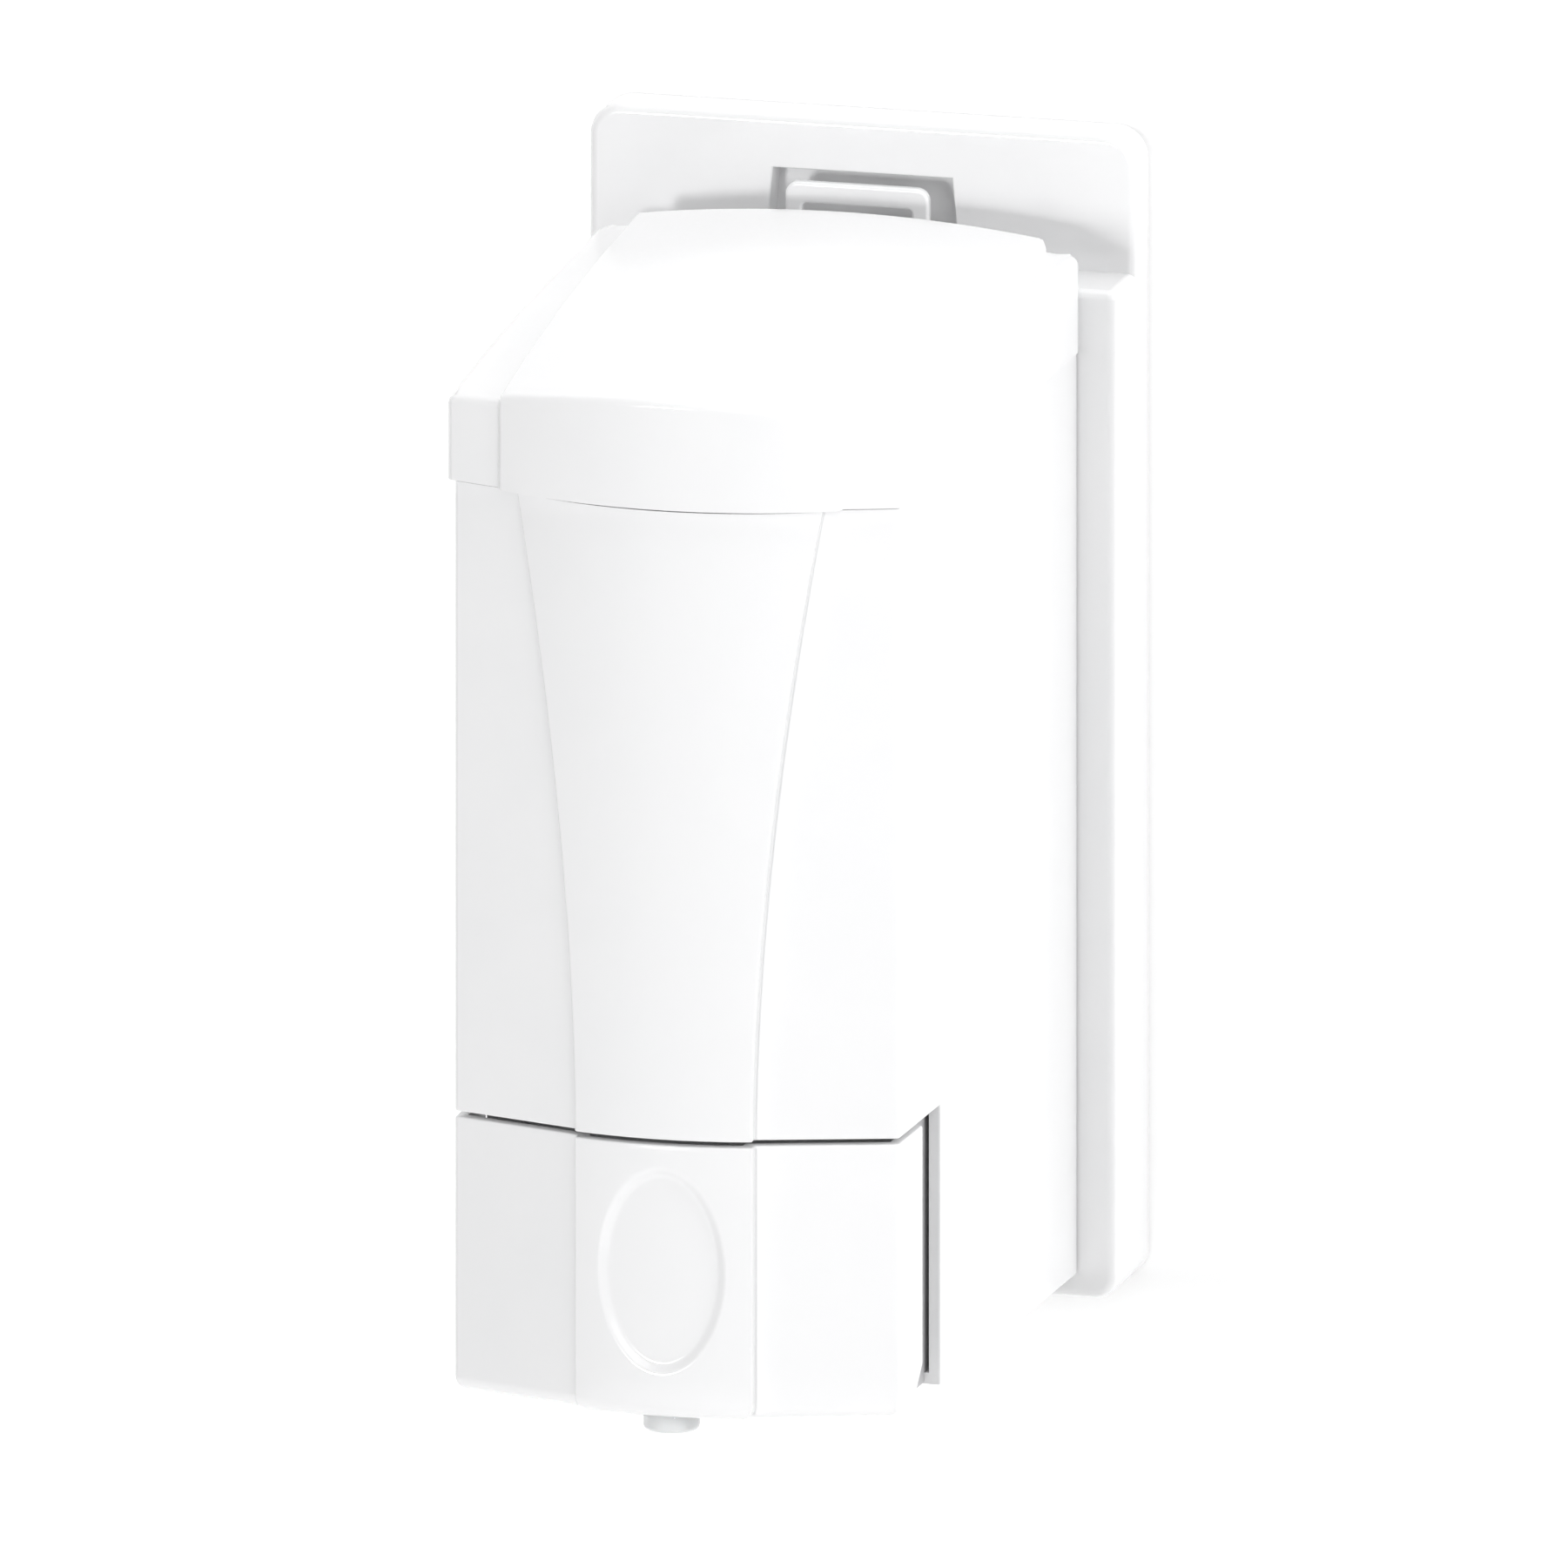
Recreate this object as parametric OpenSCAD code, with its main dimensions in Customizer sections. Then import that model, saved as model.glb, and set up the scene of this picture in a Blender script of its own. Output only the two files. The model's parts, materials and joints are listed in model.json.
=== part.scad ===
// Wall mounted soap dispenser: a housing unit hooked on a deep wall plate, with a hinged refill lid,
// a sprung push panel that works a horizontal piston pump, and a sprung release latch.
// Millimetres. X is across, the wall is the plane Y = 0, the front faces -Y, Z is up.
// Modules are drawn from the bottom of the wall plate and raised so that Z = 0 is its middle height.

/* [Overall] */
// Height of the housing shoulder, where the lid starts, above the bottom of the wall plate
unit_h = 204; // [170:1:260]
// Distance from the wall to the front corners of the housing
reach = 162; // [140:1:210]
// Width of the housing across its front corners
front_w = 97.6; // [90:0.2:125]
// How much wider the housing is at its rear, on each side
flare = 2.8; // [0:0.1:4]

/* [Wall plate] */
// Width of the wall plate
plate_w = 120; // [112:1:160]
// Thickness of the upstand behind the latch
plate_t = 10.5; // [9:0.5:14]
// Radius of the top corners of the wall plate
plate_corner_r = 7; // [3:0.5:12]
// Radius of the bottom corners of the wall plate
plate_foot_r = 4.5; // [3:0.5:12]
// Depth of the chassis that carries the housing
chassis_t = 27; // [24:0.5:40]
// Height of the upstand above the chassis ledge
upstand_h = 30; // [24:1:50]
// Height of the chassis ledge above the housing shoulder
ledge_rise = 16; // [14:1:18]
// Moulded wall thickness of the wall plate
plate_wall = 3; // [2:0.5:4]
// Radius along the front edges of the wall plate
edge_r = 2; // [0.5:0.5:2.5]

/* [Wall fixing] */
// Distance between the screw columns
screw_span_x = 80; // [72:1:90]
// Distance between the screw rows
screw_span_z = 150; // [110:1:160]
// Diameter of the wall screw holes
screw_hole_d = 5; // [4:0.5:6]
// Diameter of the screw head access bore
screw_head_d = 11; // [9:0.5:12]
// Thickness of the seat under each screw head
screw_seat_t = 4; // [3:0.5:6]

/* [Housing] */
// Wall thickness of the housing, the lid and the push panel
wall = 2.5; // [2:0.1:3]
// Slope of the two front facets, forward per side step
facet_slope = 0.315; // [0.25:0.005:0.36]
// Height of the housing bottom above the bottom of the wall plate
bottom_z = 5.5; // [3:0.5:9]
// Height of the parting line between the push panel and the housing
parting_z = 66.5; // [60:0.5:80]
// How much the shoulder rises from front to rear
shoulder_rise = 2.8; // [0:0.1:4]
// Half width of the flat that the facets run into, hidden by the centre panel
flat_half = 18; // [14:0.5:19]
// Height of the lip inside the lid
lip_h = 10; // [6:0.5:12]
// Step from the housing face to the lip face
lip_step = 1.6; // [1.5:0.1:2.2]
// Gap between the rear of the housing and the chassis
back_gap = 0.5; // [0.3:0.1:1.5]

/* [Centre panel] */
// Radius of the curved centre panel
bulge_r = 77.4; // [70:0.1:95]
// How far the centre panel stands in front of the front corners
bulge_reach = 13.9; // [13:0.1:18]
// Half width of the centre panel at the push panel
panel_half_low = 19.5; // [19:0.1:24]
// Half width of the centre panel at the shoulder
panel_half_top = 33.5; // [28:0.5:38]
// Exponent of the curve by which the centre panel widens
panel_power = 1.8; // [1.2:0.1:2.4]

/* [Push panel] */
// Travel of the push panel
travel = 12; // [8:0.5:13]
// Gap along the parting line
parting_gap = 1.2; // [0.8:0.1:2]
// Depth of the wings that wrap the sides
wing_depth = 17.4; // [12:0.1:22]
// Clear space behind each wing when the push panel is pressed home
slot_play = 1.7; // [1.5:0.1:4]
// Chamfer at the lower rear corner of each wing
wing_chamfer = 8; // [4:0.5:12]
// Radius of the lower front corners
panel_corner_r = 4; // [2:0.5:8]
// Width of the oval finger dish
oval_w = 28; // [20:0.5:32]
// Height of the oval finger dish
oval_h = 45; // [30:0.5:46]
// Height of the pump and dish centre above the bottom of the wall plate
pump_z = 37.8; // [35:0.1:40]
// Depth of the finger dish
oval_depth = 1.2; // [0.6:0.1:1.5]

/* [Lid] */
// How far the lid stands out past the housing
overhang = 1.3; // [0.8:0.1:2]
// Height of the side of the lid above the shoulder, at the front
lid_side_h = 19.3; // [18.5:0.1:20.5]
// Rise of the side of the lid towards the rear
lid_side_rise = 5.1; // [4:0.1:6]
// Height of the crown above the shoulder, at the front
lid_crown_h = 24; // [23.5:0.1:25.5]
// Rise of the crown towards the rear
lid_crown_rise = 6.4; // [6:0.1:7]
// Arch of the crown across its width
lid_arch = 3; // [1:0.1:3.2]
// Half width of the raised crown at the front
crown_half_front = 36.5; // [30:0.5:40]
// Half width of the raised crown at the rear
crown_half_rear = 43.9; // [40:0.1:46]
// Width of the sloped step beside the crown
crown_step = 1.6; // [1:0.1:2.5]
// Radius of the front of the lid in plan
lid_front_r = 90; // [85:1:120]

/* [Hinge and latch] */
// Diameter of the lid pins and the latch pin
pin_d = 3; // [2.5:0.1:3]
// Radial clearance of a turning or sliding fit
run_fit = 0.05; // [0.02:0.01:0.09]
// Distance of the lid hinge axis in front of the wall plate's chassis
hinge_inset = 6; // [5.8:0.1:7]
// Height of the lid hinge axis above the shoulder
hinge_rise = 22; // [22:0.1:22.4]
// Width of the release latch
latch_w = 31.5; // [26:0.5:36]
// Thickness of the release latch
latch_t = 2.5; // [2:0.1:3]
// Height of the latch above the chassis ledge
latch_h = 16.7; // [14:0.1:20]
// Width of each leg of the latch loop
latch_leg = 3.7; // [3:0.1:5]
// Height of the top bar of the latch loop
latch_bar = 4.6; // [3:0.1:6]
// Gap between the latch and the face of the upstand
latch_gap = 2.1; // [1.5:0.1:3]
// Clear space around the latch in its pocket, at each side
pocket_margin = 3.9; // [2:0.1:6]
// How much wider the pocket is at the ledge, at each side
pocket_flare = 1.6; // [0:0.1:3]
// Depth of the pocket
pocket_depth = 7; // [6.5:0.5:8]

/* [Pump] */
// Diameter of the piston
piston_d = 13; // [10:0.5:14]
// Wall of the pump barrel
barrel_wall = 2.4; // [2:0.1:3]
// Diameter of the hollow plunger
plunger_d = 8; // [7:0.5:8]
// Bore of the plunger and the passages
passage_d = 4; // [3:0.5:4]
// Diameter of the nozzle
nozzle_d = 12; // [11:0.5:12.5]
// Distance of the nozzle in front of the front corners
nozzle_reach = 4.5; // [3:0.1:5]
// Height of the nozzle mouth above the bottom of the wall plate
nozzle_z = 1.5; // [0:0.5:3]
// Diameter of the guide rods
rod_d = 4; // [3:0.5:5]
// Distance of each guide rod from the middle
rod_x = 30; // [26:0.5:32]
// Diameter of the reservoir neck
neck_d = 14; // [12:0.5:14]
// Distance of the neck behind the front corners
neck_back = 64; // [63:1:68]

/* [Hidden] */
$fn = 96;

// Clearances
eps = 0.01;
slack = 0.4;
face_gap = 0.15;

// Places along Z, from the bottom of the wall plate
ledge_z = unit_h + ledge_rise;
plate_h = ledge_z + upstand_h;
mid_z = plate_h / 2;
cross_rib_z = mid_z - 25;
screw_xs = [-screw_span_x / 2, screw_span_x / 2];
screw_zs = [mid_z - screw_span_z / 2, mid_z + screw_span_z / 2];
panel_top_z = parting_z - parting_gap;
soffit_t = 2;
shelf_t = 2.5;
shelf_z = parting_z + soffit_t;
tank_z = shelf_z + shelf_t;
tank_top_z = unit_h - 14;
tank_wall = 1.8;

// Places along Y, measured from the wall
front_y = -reach;
chassis_y = -chassis_t;
back_y = chassis_y - back_gap;
back_t = 3;
back_in_y = back_y - back_t;
side_run = back_y - front_y;
flat_y = front_y - (front_w / 2 - flat_half) * facet_slope;
bulge_y = front_y - bulge_reach;
wing_y = front_y + wing_depth;
slot_y = wing_y + travel + slot_play;
tilt = atan(shoulder_rise / side_run);
bulge_back_y = front_y + 2;
neck_y = front_y + neck_back;

// Hooks between the housing back and the chassis
hook_x = 22;
hook_w = 10;
hook_rows = [40, unit_h - 54];
hook_t = 3;
hook_drop = 5;
hook_play = 0.5;
hook_window_h = 12;
hook_y = chassis_y + plate_wall + slack;

// Release latch
latch_y = -plate_t - latch_gap - latch_t / 2;
latch_pivot_z = ledge_z - 35;
latch_top_z = ledge_z + latch_h;
latch_barrel_r = 3.4;
latch_side_gap = 0.55;
latch_ear_t = 3;
latch_corner_r = 2.8;
latch_foot = 5;
latch_window_foot = 4;
keeper_z = ledge_z - 14;
keeper_t = 3;
keeper_half = 6;
keeper_y = latch_y - latch_t / 2 - 2.9;
nose_half = 5;
nose_t = 3.6;
nose_reach = 5.4;
pocket_top_gap = 1.6;
pocket_half = latch_w / 2 + pocket_margin;
seat_z = ledge_z - 20;
seat_half_h = 8;

// Lid hinge
hinge_y = chassis_y - hinge_inset;
hinge_z = unit_h + hinge_rise;
knuckle_r = 2.4;
knuckle_w = 3.7;
knuckle_x = 33.3;
ear_r = 3;
ear_w = 3.9;
ear_x = knuckle_x - slack - ear_w;
lid_rear_t = 2;
lid_rear_y = back_y - 0.5;
lid_rear_low_z = ledge_z + 2;
back_top_z = ledge_z - 0.5;
lid_knuckle_clear = 3.8;
lid_edge_drop = 0.6;
lid_gap = 0.6;
lid_profile_power = 2.5;
lid_rows = 16;
lid_half_columns = 8;

// Screws
screw_r = 1.25;
screw_clear_r = 1.7;
screw_head_r = 2.9;
screw_head_t = 1.6;
back_screw_x = 43.5;
back_screw_rows = [30, unit_h - 7];
back_boss_r = 4;
back_boss_l = 24;
bracket_screw_x = 44;
bracket_screw_ys = [front_y + 52, back_y - 22.5];
bracket_head_r = 2.4;
bracket_head_t = 1.5;
bracket_screw_l = 6;
rail_x = 41.5;
rail_h = 6;

// Pump and guides, along Y
brace_y = front_y + 35;
brace_t = 3;
cheek_x = front_w / 2 - wall - slack;
cheek_t = wall;
cheek_front_y = wing_y - 1.9;
cheek_l = 31.5;
bush_r = 4.5;
bush_flange_r = 6;
bush_flange_t = 2;
bush_l = 10;
boss_y = front_y + 4;
rod_front_y = front_y - 1;
rod_rear_y = brace_y + bush_l + 13;
clip_t = 1;
clip_r = 3.6;
barrel_r = piston_d / 2 + run_fit;
barrel_out_r = barrel_r + barrel_wall;
barrel_front_y = brace_y - 4;
barrel_rear_y = neck_y + neck_d / 2 - 1;
barrel_floor_t = 3;
cap_t = 3;
cap_wall = 2;
piston_front_y = barrel_front_y + 3;
piston_l = 10;
seal_w = 2.4;
seal_depth = 1.2;
piston_slack = 0.1;
cup_wall = 2.1;
cup_in_r = neck_d / 2 + 1.9;
cup_floor_z = pump_z + 12.2;
cup_top_z = cup_floor_z + 14;
valve_t = 1.2;
neck_low_z = cup_floor_z + valve_t + 1;
neck_wall = 2.5;
head_r = 8;
head_rear_y = front_y + 6;
nozzle_y = front_y - nozzle_reach;
spout_r = 4.5;
head_front_y = nozzle_y - spout_r - slack;
spout_low_z = nozzle_z + 6.5;
nozzle_top_z = nozzle_z + 10.5;
pad_r = 6;

// Raises a piece drawn from the bottom of the wall plate into the frame of the part
module raise() {
    translate([0, 0, -mid_z]) children();
}

// Both sides of a piece that is mirrored across the middle
module both_sides() {
    children();
    mirror([1, 0, 0]) children();
}

// A box from its lowest and highest corners
module box(low, high) {
    translate(low) cube(high - low);
}

// A cylinder along Y from y0 to y1
module y_rod(r, y0, y1, x = 0, z = 0) {
    translate([x, y0, z]) rotate([-90, 0, 0]) cylinder(r = r, h = y1 - y0);
}

// A cylinder along X from x0 to x1
module x_rod(r, x0, x1, y = 0, z = 0) {
    translate([x0, y, z]) rotate([0, 90, 0]) cylinder(r = r, h = x1 - x0);
}

// An outline in X and Z, extruded along Y from y0 to y1
module y_slab(y0, y1) {
    translate([0, y1, 0]) rotate([90, 0, 0]) linear_extrude(y1 - y0) children();
}

// A rectangle with round corners, from its lowest and highest corners
module round_rect(low, high, r_low, r_high) {
    top_r = is_undef(r_high) ? r_low : r_high;
    side = max(r_low, top_r);
    translate([low[0] + side, low[1]]) square([high[0] - low[0] - 2 * side, high[1] - low[1]]);
    translate([low[0], low[1] + r_low]) square([high[0] - low[0], high[1] - low[1] - r_low - top_r]);
    for (x = [0, 1], end = [[low[1], r_low, 1], [high[1], top_r, -1]]) if (end[1] > 0) {
        at = x == 0 ? low[0] + end[1] : high[0] - end[1];
        translate([at, end[0] + end[2] * end[1]]) circle(r = end[1]);
        if (end[1] < side)
            translate([x == 0 ? at : high[0] - side - eps, end[2] > 0 ? end[0] : end[0] - end[1]])
                square([side - end[1] + eps, end[1]]);
    }
}

// A slab with round corners and a rounded front edge, its rear on the wall plane
module soft_slab(low, high, r_low, r_high, t, edge) {
    y_slab(-t + edge, 0) round_rect(low, high, r_low, r_high);
    y_slab(-t, -t + edge + eps) round_rect([low[0] + edge, low[1] + edge],
        [high[0] - edge, high[1] - edge], r_low - edge, r_high - edge);
    x_rod(edge, low[0] + r_low, high[0] - r_low, -t + edge, low[1] + edge);
    x_rod(edge, low[0] + r_high, high[0] - r_high, -t + edge, high[1] - edge);
    for (x = [low[0] + edge, high[0] - edge]) translate([x, -t + edge, low[1] + r_low])
        cylinder(r = edge, h = high[1] - low[1] - r_low - r_high);
    for (end = [[low[1] + r_low, r_low], [high[1] - r_high, r_high]])
        for (x = [low[0] + end[1], high[0] - end[1]]) translate([x, -t + edge, end[0]])
            if (end[1] > edge) rotate([90, 0, 0]) rotate_extrude() intersection() {
                translate([end[1] - edge, 0]) circle(r = edge);
                translate([0, -edge]) square([end[1], 2 * edge]);
            } else sphere(r = edge);
}

// A coil spring along Z from 0 to length
module coil(r, wire, length, turns) {
    steps = turns * 14;
    sides = 8;
    lead = atan((length - wire) / (2 * PI * r * turns));
    points = [
        for (i = [0:steps])
            let (
                a = 360 * turns * i / steps,
                c = [r * cos(a), r * sin(a), wire / 2 + (length - wire) * i / steps]
            )
                for (j = [0:sides - 1])
                    let (b = 360 * j / sides)
                        c + wire / 2 * (cos(b) * [cos(a), sin(a), 0]
                            + sin(b) * [sin(a) * sin(lead), -cos(a) * sin(lead), cos(lead)])
    ];
    walls = [
        for (i = [0:steps - 1], j = [0:sides - 1])
            [i * sides + j, i * sides + (j + 1) % sides, (i + 1) * sides + (j + 1) % sides, (i + 1) * sides + j]
    ];
    ends = [[for (j = [sides - 1:-1:0]) j], [for (j = [0:sides - 1]) steps * sides + j]];
    polyhedron(points = points, faces = concat(walls, ends));
}

// A coil spring along Y from y0 to y1
module y_coil(r, wire, y0, y1, turns, x = 0, z = 0) {
    translate([x, y0, z]) rotate([-90, 0, 0]) coil(r, wire, y1 - y0, turns);
}

// Half width of the housing at a distance from the wall
function side_half(y) = front_w / 2 + flare * (y - front_y) / side_run;

// Plan of the housing, set in by d and ending at the plane rear_y
function plan(d, rear_y) = let (
    half = front_w / 2 - d,
    corner_y = front_y + d * (sqrt(1 + facet_slope * facet_slope) - facet_slope),
    flat_x = flat_half - d * (sqrt(1 + facet_slope * facet_slope) - 1) / facet_slope,
    rear = side_half(rear_y) - d
) [
    [-half, corner_y], [-flat_x, flat_y + d], [flat_x, flat_y + d],
    [half, corner_y], [rear, rear_y], [-rear, rear_y]
];

// A prism of that plan
module plan_prism(d, z0, z1, rear_y = back_y) {
    translate([0, 0, z0]) linear_extrude(z1 - z0) polygon(plan(d, rear_y));
}

// Half width of the centre panel at a height
function panel_half(z) = panel_half_low
    + (panel_half_top - panel_half_low) * pow(max(0, z - parting_z) / (unit_h - parting_z), panel_power);

// The curved centre panel, set in by d, between two heights
module bulge(d, z0, z1) {
    steps = 16;
    levels = [for (i = [0:steps]) z0 + (z1 - z0) * i / steps];
    right = [for (z = levels) [panel_half(z) - d, z]];
    left = [for (i = [steps:-1:0]) [d - panel_half(levels[i]), levels[i]]];
    intersection() {
        y_slab(bulge_y - 1, bulge_back_y) polygon(concat(right, left));
        translate([0, bulge_y + bulge_r, z0 - 1]) cylinder(r = bulge_r - d, h = z1 - z0 + 2, $fn = 180);
    }
}

// All that lies above the sloping shoulder, lowered by d
module above_shoulder(d) {
    translate([0, front_y, unit_h - d]) rotate([tilt, 0, 0])
        translate([-front_w, -front_w, 0]) cube([2 * front_w, 2 * front_w + side_run, front_w]);
}

// Outline of the finger dish
module oval() {
    steps = 72;
    translate([0, pump_z]) polygon([
        for (i = [0:steps - 1]) [oval_w / 2 * cos(360 * i / steps), oval_h / 2 * sin(360 * i / steps)]
    ]);
}

// A solid under a grid of top points, whose rows run to the rear and columns to the right
module draped(top, base_z) {
    rows = len(top);
    columns = len(top[0]);
    count = rows * columns;
    points = [
        for (part = [0, 1], i = [0:rows - 1], j = [0:columns - 1])
            part == 0 ? top[i][j] : [top[i][j][0], top[i][j][1], base_z]
    ];
    cells = [for (i = [0:rows - 2], j = [0:columns - 2]) [i * columns + j, (i + 1) * columns + j]];
    upper = [for (c = cells) for (f = [[c[0], c[1], c[1] + 1], [c[0], c[1] + 1, c[0] + 1]]) f];
    lower = [for (f = upper) [f[2] + count, f[1] + count, f[0] + count]];
    last = (rows - 1) * columns;
    front = [for (j = [0:columns - 2]) [count + j, j, j + 1, count + j + 1]];
    rear = [for (j = [0:columns - 2]) [count + last + j + 1, last + j + 1, last + j, count + last + j]];
    left = [
        for (i = [0:rows - 2]) let (a = i * columns, b = a + columns) [count + b, b, a, count + a]
    ];
    right = [
        for (i = [0:rows - 2]) let (a = i * columns + columns - 1, b = a + columns)
            [count + a, a, b, count + b]
    ];
    polyhedron(points = points, faces = concat(upper, lower, front, rear, left, right));
}

// Point of the lid's top at column k of the half grid and fraction t of the depth, set in by d
function lid_point(k, t, d) = let (
    a = abs(k),
    side = sign(k),
    crown_columns = lid_half_columns - 2,
    rise = 1 - pow(1 - t, lid_profile_power),
    outer_f = front_w / 2 + overhang - d,
    outer = outer_f + flare * t,
    seg_f = crown_half_front,
    seg = seg_f + (crown_half_rear - seg_f) * t,
    across = a <= crown_columns ? a / crown_columns : 1,
    x = a <= crown_columns ? seg * across : a == crown_columns + 1 ? seg + crown_step : outer,
    x_f = a <= crown_columns ? seg_f * across : a == crown_columns + 1 ? seg_f + crown_step : outer_f,
    arc_y = bulge_y - overhang + lid_front_r - sqrt(pow(lid_front_r, 2) - x_f * x_f),
    facet_y = front_y - overhang - (front_w / 2 + overhang - x_f) * facet_slope,
    start_y = (a <= crown_columns ? arc_y : facet_y) + d,
    end_y = lid_rear_y - (d > 0 ? lid_rear_t : 0),
    z = a <= crown_columns
        ? unit_h + lid_crown_h + lid_crown_rise * rise - lid_arch * across * across
        : unit_h + lid_side_h + lid_side_rise * rise - (a == lid_half_columns ? lid_edge_drop : 0)
) [side * x, start_y + (end_y - start_y) * t, z - d];

// The block under the lid's top, set in by d
module lid_block(d, base_z) {
    draped(
        [for (i = [0:lid_rows])
            [for (k = [-lid_half_columns:lid_half_columns]) lid_point(k, i / lid_rows, d)]],
        base_z
    );
}

// ---- Wall side ----

module wall_plate() {
    half = plate_w / 2;
    ear_in = latch_w / 2 + latch_side_gap;
    color("white") raise() difference() {
        union() {
            difference() {
                union() {
                    soft_slab([-half, 0], [half, plate_h], plate_foot_r, plate_corner_r, plate_t, edge_r);
                    soft_slab([-half, 0], [half, ledge_z], plate_foot_r, edge_r, chassis_t, edge_r);
                }
                box([-half + plate_wall, chassis_y + plate_wall, plate_wall],
                    [half - plate_wall, 1, ledge_z - plate_wall]);
                both_sides() box([pocket_half + pocket_flare + plate_wall, -plate_t + plate_wall, ledge_z],
                    [half - plate_wall, 1, plate_h - plate_wall]);
            }
            for (x = screw_xs, z = screw_zs)
                y_rod(screw_head_d / 2 + plate_wall, chassis_y + 1, 0, x, z);
            both_sides() box([ear_in, chassis_y + 1, latch_pivot_z - 7],
                [ear_in + latch_ear_t, 0, ledge_z - 1]);
            box([-ear_in - 1, -plate_wall, seat_z - seat_half_h], [ear_in + 1, 0, seat_z + seat_half_h]);
            box([-plate_wall / 2, chassis_y + 1, 1], [plate_wall / 2, 0, latch_pivot_z - 7]);
            box([1 - half, chassis_y + 1, cross_rib_z - plate_wall / 2],
                [half - 1, 0, cross_rib_z + plate_wall / 2]);
        }
        // wall screw holes and the access to their heads
        for (x = screw_xs, z = screw_zs) {
            y_rod(screw_hole_d / 2, -screw_seat_t - 1, 1, x, z);
            y_rod(screw_head_d / 2, chassis_y - 1, -screw_seat_t, x, z);
        }
        // latch pocket in the upstand, and the slot through the ledge below it
        y_slab(-chassis_t - 1, -plate_t + pocket_depth) polygon([
            [-pocket_half - pocket_flare, ledge_z], [pocket_half + pocket_flare, ledge_z],
            [pocket_half, latch_top_z + pocket_top_gap], [-pocket_half, latch_top_z + pocket_top_gap]
        ]);
        box([-ear_in, latch_y - latch_t / 2 - 2.4, ledge_z - plate_wall - 1],
            [ear_in, -plate_t + pocket_depth, ledge_z + 1]);
        // latch pin
        x_rod(pin_d / 2, -ear_in - latch_ear_t - 1, ear_in + latch_ear_t + 1, latch_y, latch_pivot_z);
        // windows for the hooks and for the keeper of the housing back
        for (z = hook_rows) both_sides()
            box([hook_x - hook_w / 2 - hook_play, chassis_y - 1, z],
                [hook_x + hook_w / 2 + hook_play, chassis_y + plate_wall + eps, z + hook_window_h]);
        box([-keeper_half - 3, chassis_y - 1, keeper_z - 2],
            [keeper_half + 3, chassis_y + plate_wall + eps, keeper_z + keeper_t + 2]);
    }
}

module release_latch() {
    half = latch_w / 2;
    color("whitesmoke") raise() difference() {
        union() {
            y_slab(latch_y - latch_t / 2, latch_y + latch_t / 2)
                round_rect([-half, latch_pivot_z - latch_foot], [half, latch_top_z], latch_corner_r);
            x_rod(latch_barrel_r, -half, half, latch_y, latch_pivot_z);
            box([-nose_half, latch_y - latch_t / 2 - nose_reach, keeper_z + keeper_t + slack],
                [nose_half, latch_y, keeper_z + keeper_t + slack + nose_t]);
        }
        y_slab(latch_y - latch_t, latch_y + latch_t)
            round_rect([latch_leg - half, ledge_z - latch_window_foot],
                [half - latch_leg, latch_top_z - latch_bar], 1);
        x_rod(pin_d / 2 + run_fit, -half - 1, half + 1, latch_y, latch_pivot_z);
    }
}

module latch_pin() {
    pin_half = latch_w / 2 + latch_side_gap + latch_ear_t;
    color("silver") raise() x_rod(pin_d / 2, -pin_half, pin_half, latch_y, latch_pivot_z);
}

module latch_spring() {
    color("lightsteelblue") raise()
        y_coil(3.2, 0.8, latch_y + latch_t / 2 + face_gap, -plate_wall - face_gap, 5, 0, seat_z);
}

// ---- Housing ----

module housing() {
    inner_half = side_half(back_y) - wall;
    color("white") raise() difference() {
        union() {
            difference() {
                union() {
                    plan_prism(0, bottom_z, unit_h + shoulder_rise + 1);
                    bulge(0, parting_z, unit_h + shoulder_rise + 1);
                }
                above_shoulder(0);
                plan_prism(wall, shelf_z, unit_h + lip_h, back_y + 1);
                bulge(wall, shelf_z, unit_h - wall);
                intersection() {
                    plan_prism(wall, bottom_z + wall, unit_h, back_y + 1);
                    box([-front_w, slot_y, 0], [front_w, 1, unit_h]);
                }
                box([-front_w, bulge_y - 5, 0], [front_w, slot_y, parting_z]);
            }
            // lip that the lid closes over
            difference() {
                plan_prism(lip_step, unit_h - 6, unit_h + lip_h, back_in_y - 1);
                plan_prism(lip_step + wall, unit_h - 7, unit_h + lip_h + 1, back_in_y);
            }
            // rails that carry the pump bracket
            both_sides() intersection() {
                box([rail_x, cheek_front_y + cheek_l + slack, shelf_z - rail_h],
                    [front_w, back_in_y - 5, shelf_z]);
                plan_prism(wall / 2, 0, unit_h);
            }
            // bosses for the screws of the housing back
            for (z = back_screw_rows) both_sides() intersection() {
                union() {
                    y_rod(back_boss_r, back_in_y - back_boss_l, back_in_y, back_screw_x, z);
                    box([back_screw_x, back_in_y - back_boss_l, z - 2], [front_w, back_in_y, z + 2]);
                }
                plan_prism(wall / 2, 0, unit_h + lip_h);
            }
        }
        for (z = back_screw_rows) both_sides()
            y_rod(screw_r, back_in_y - back_boss_l + 4, back_in_y + 1, back_screw_x, z);
        for (y = bracket_screw_ys) both_sides()
            translate([bracket_screw_x, y, shelf_z - rail_h + 1]) cylinder(r = screw_r, h = rail_h);
    }
}

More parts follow.
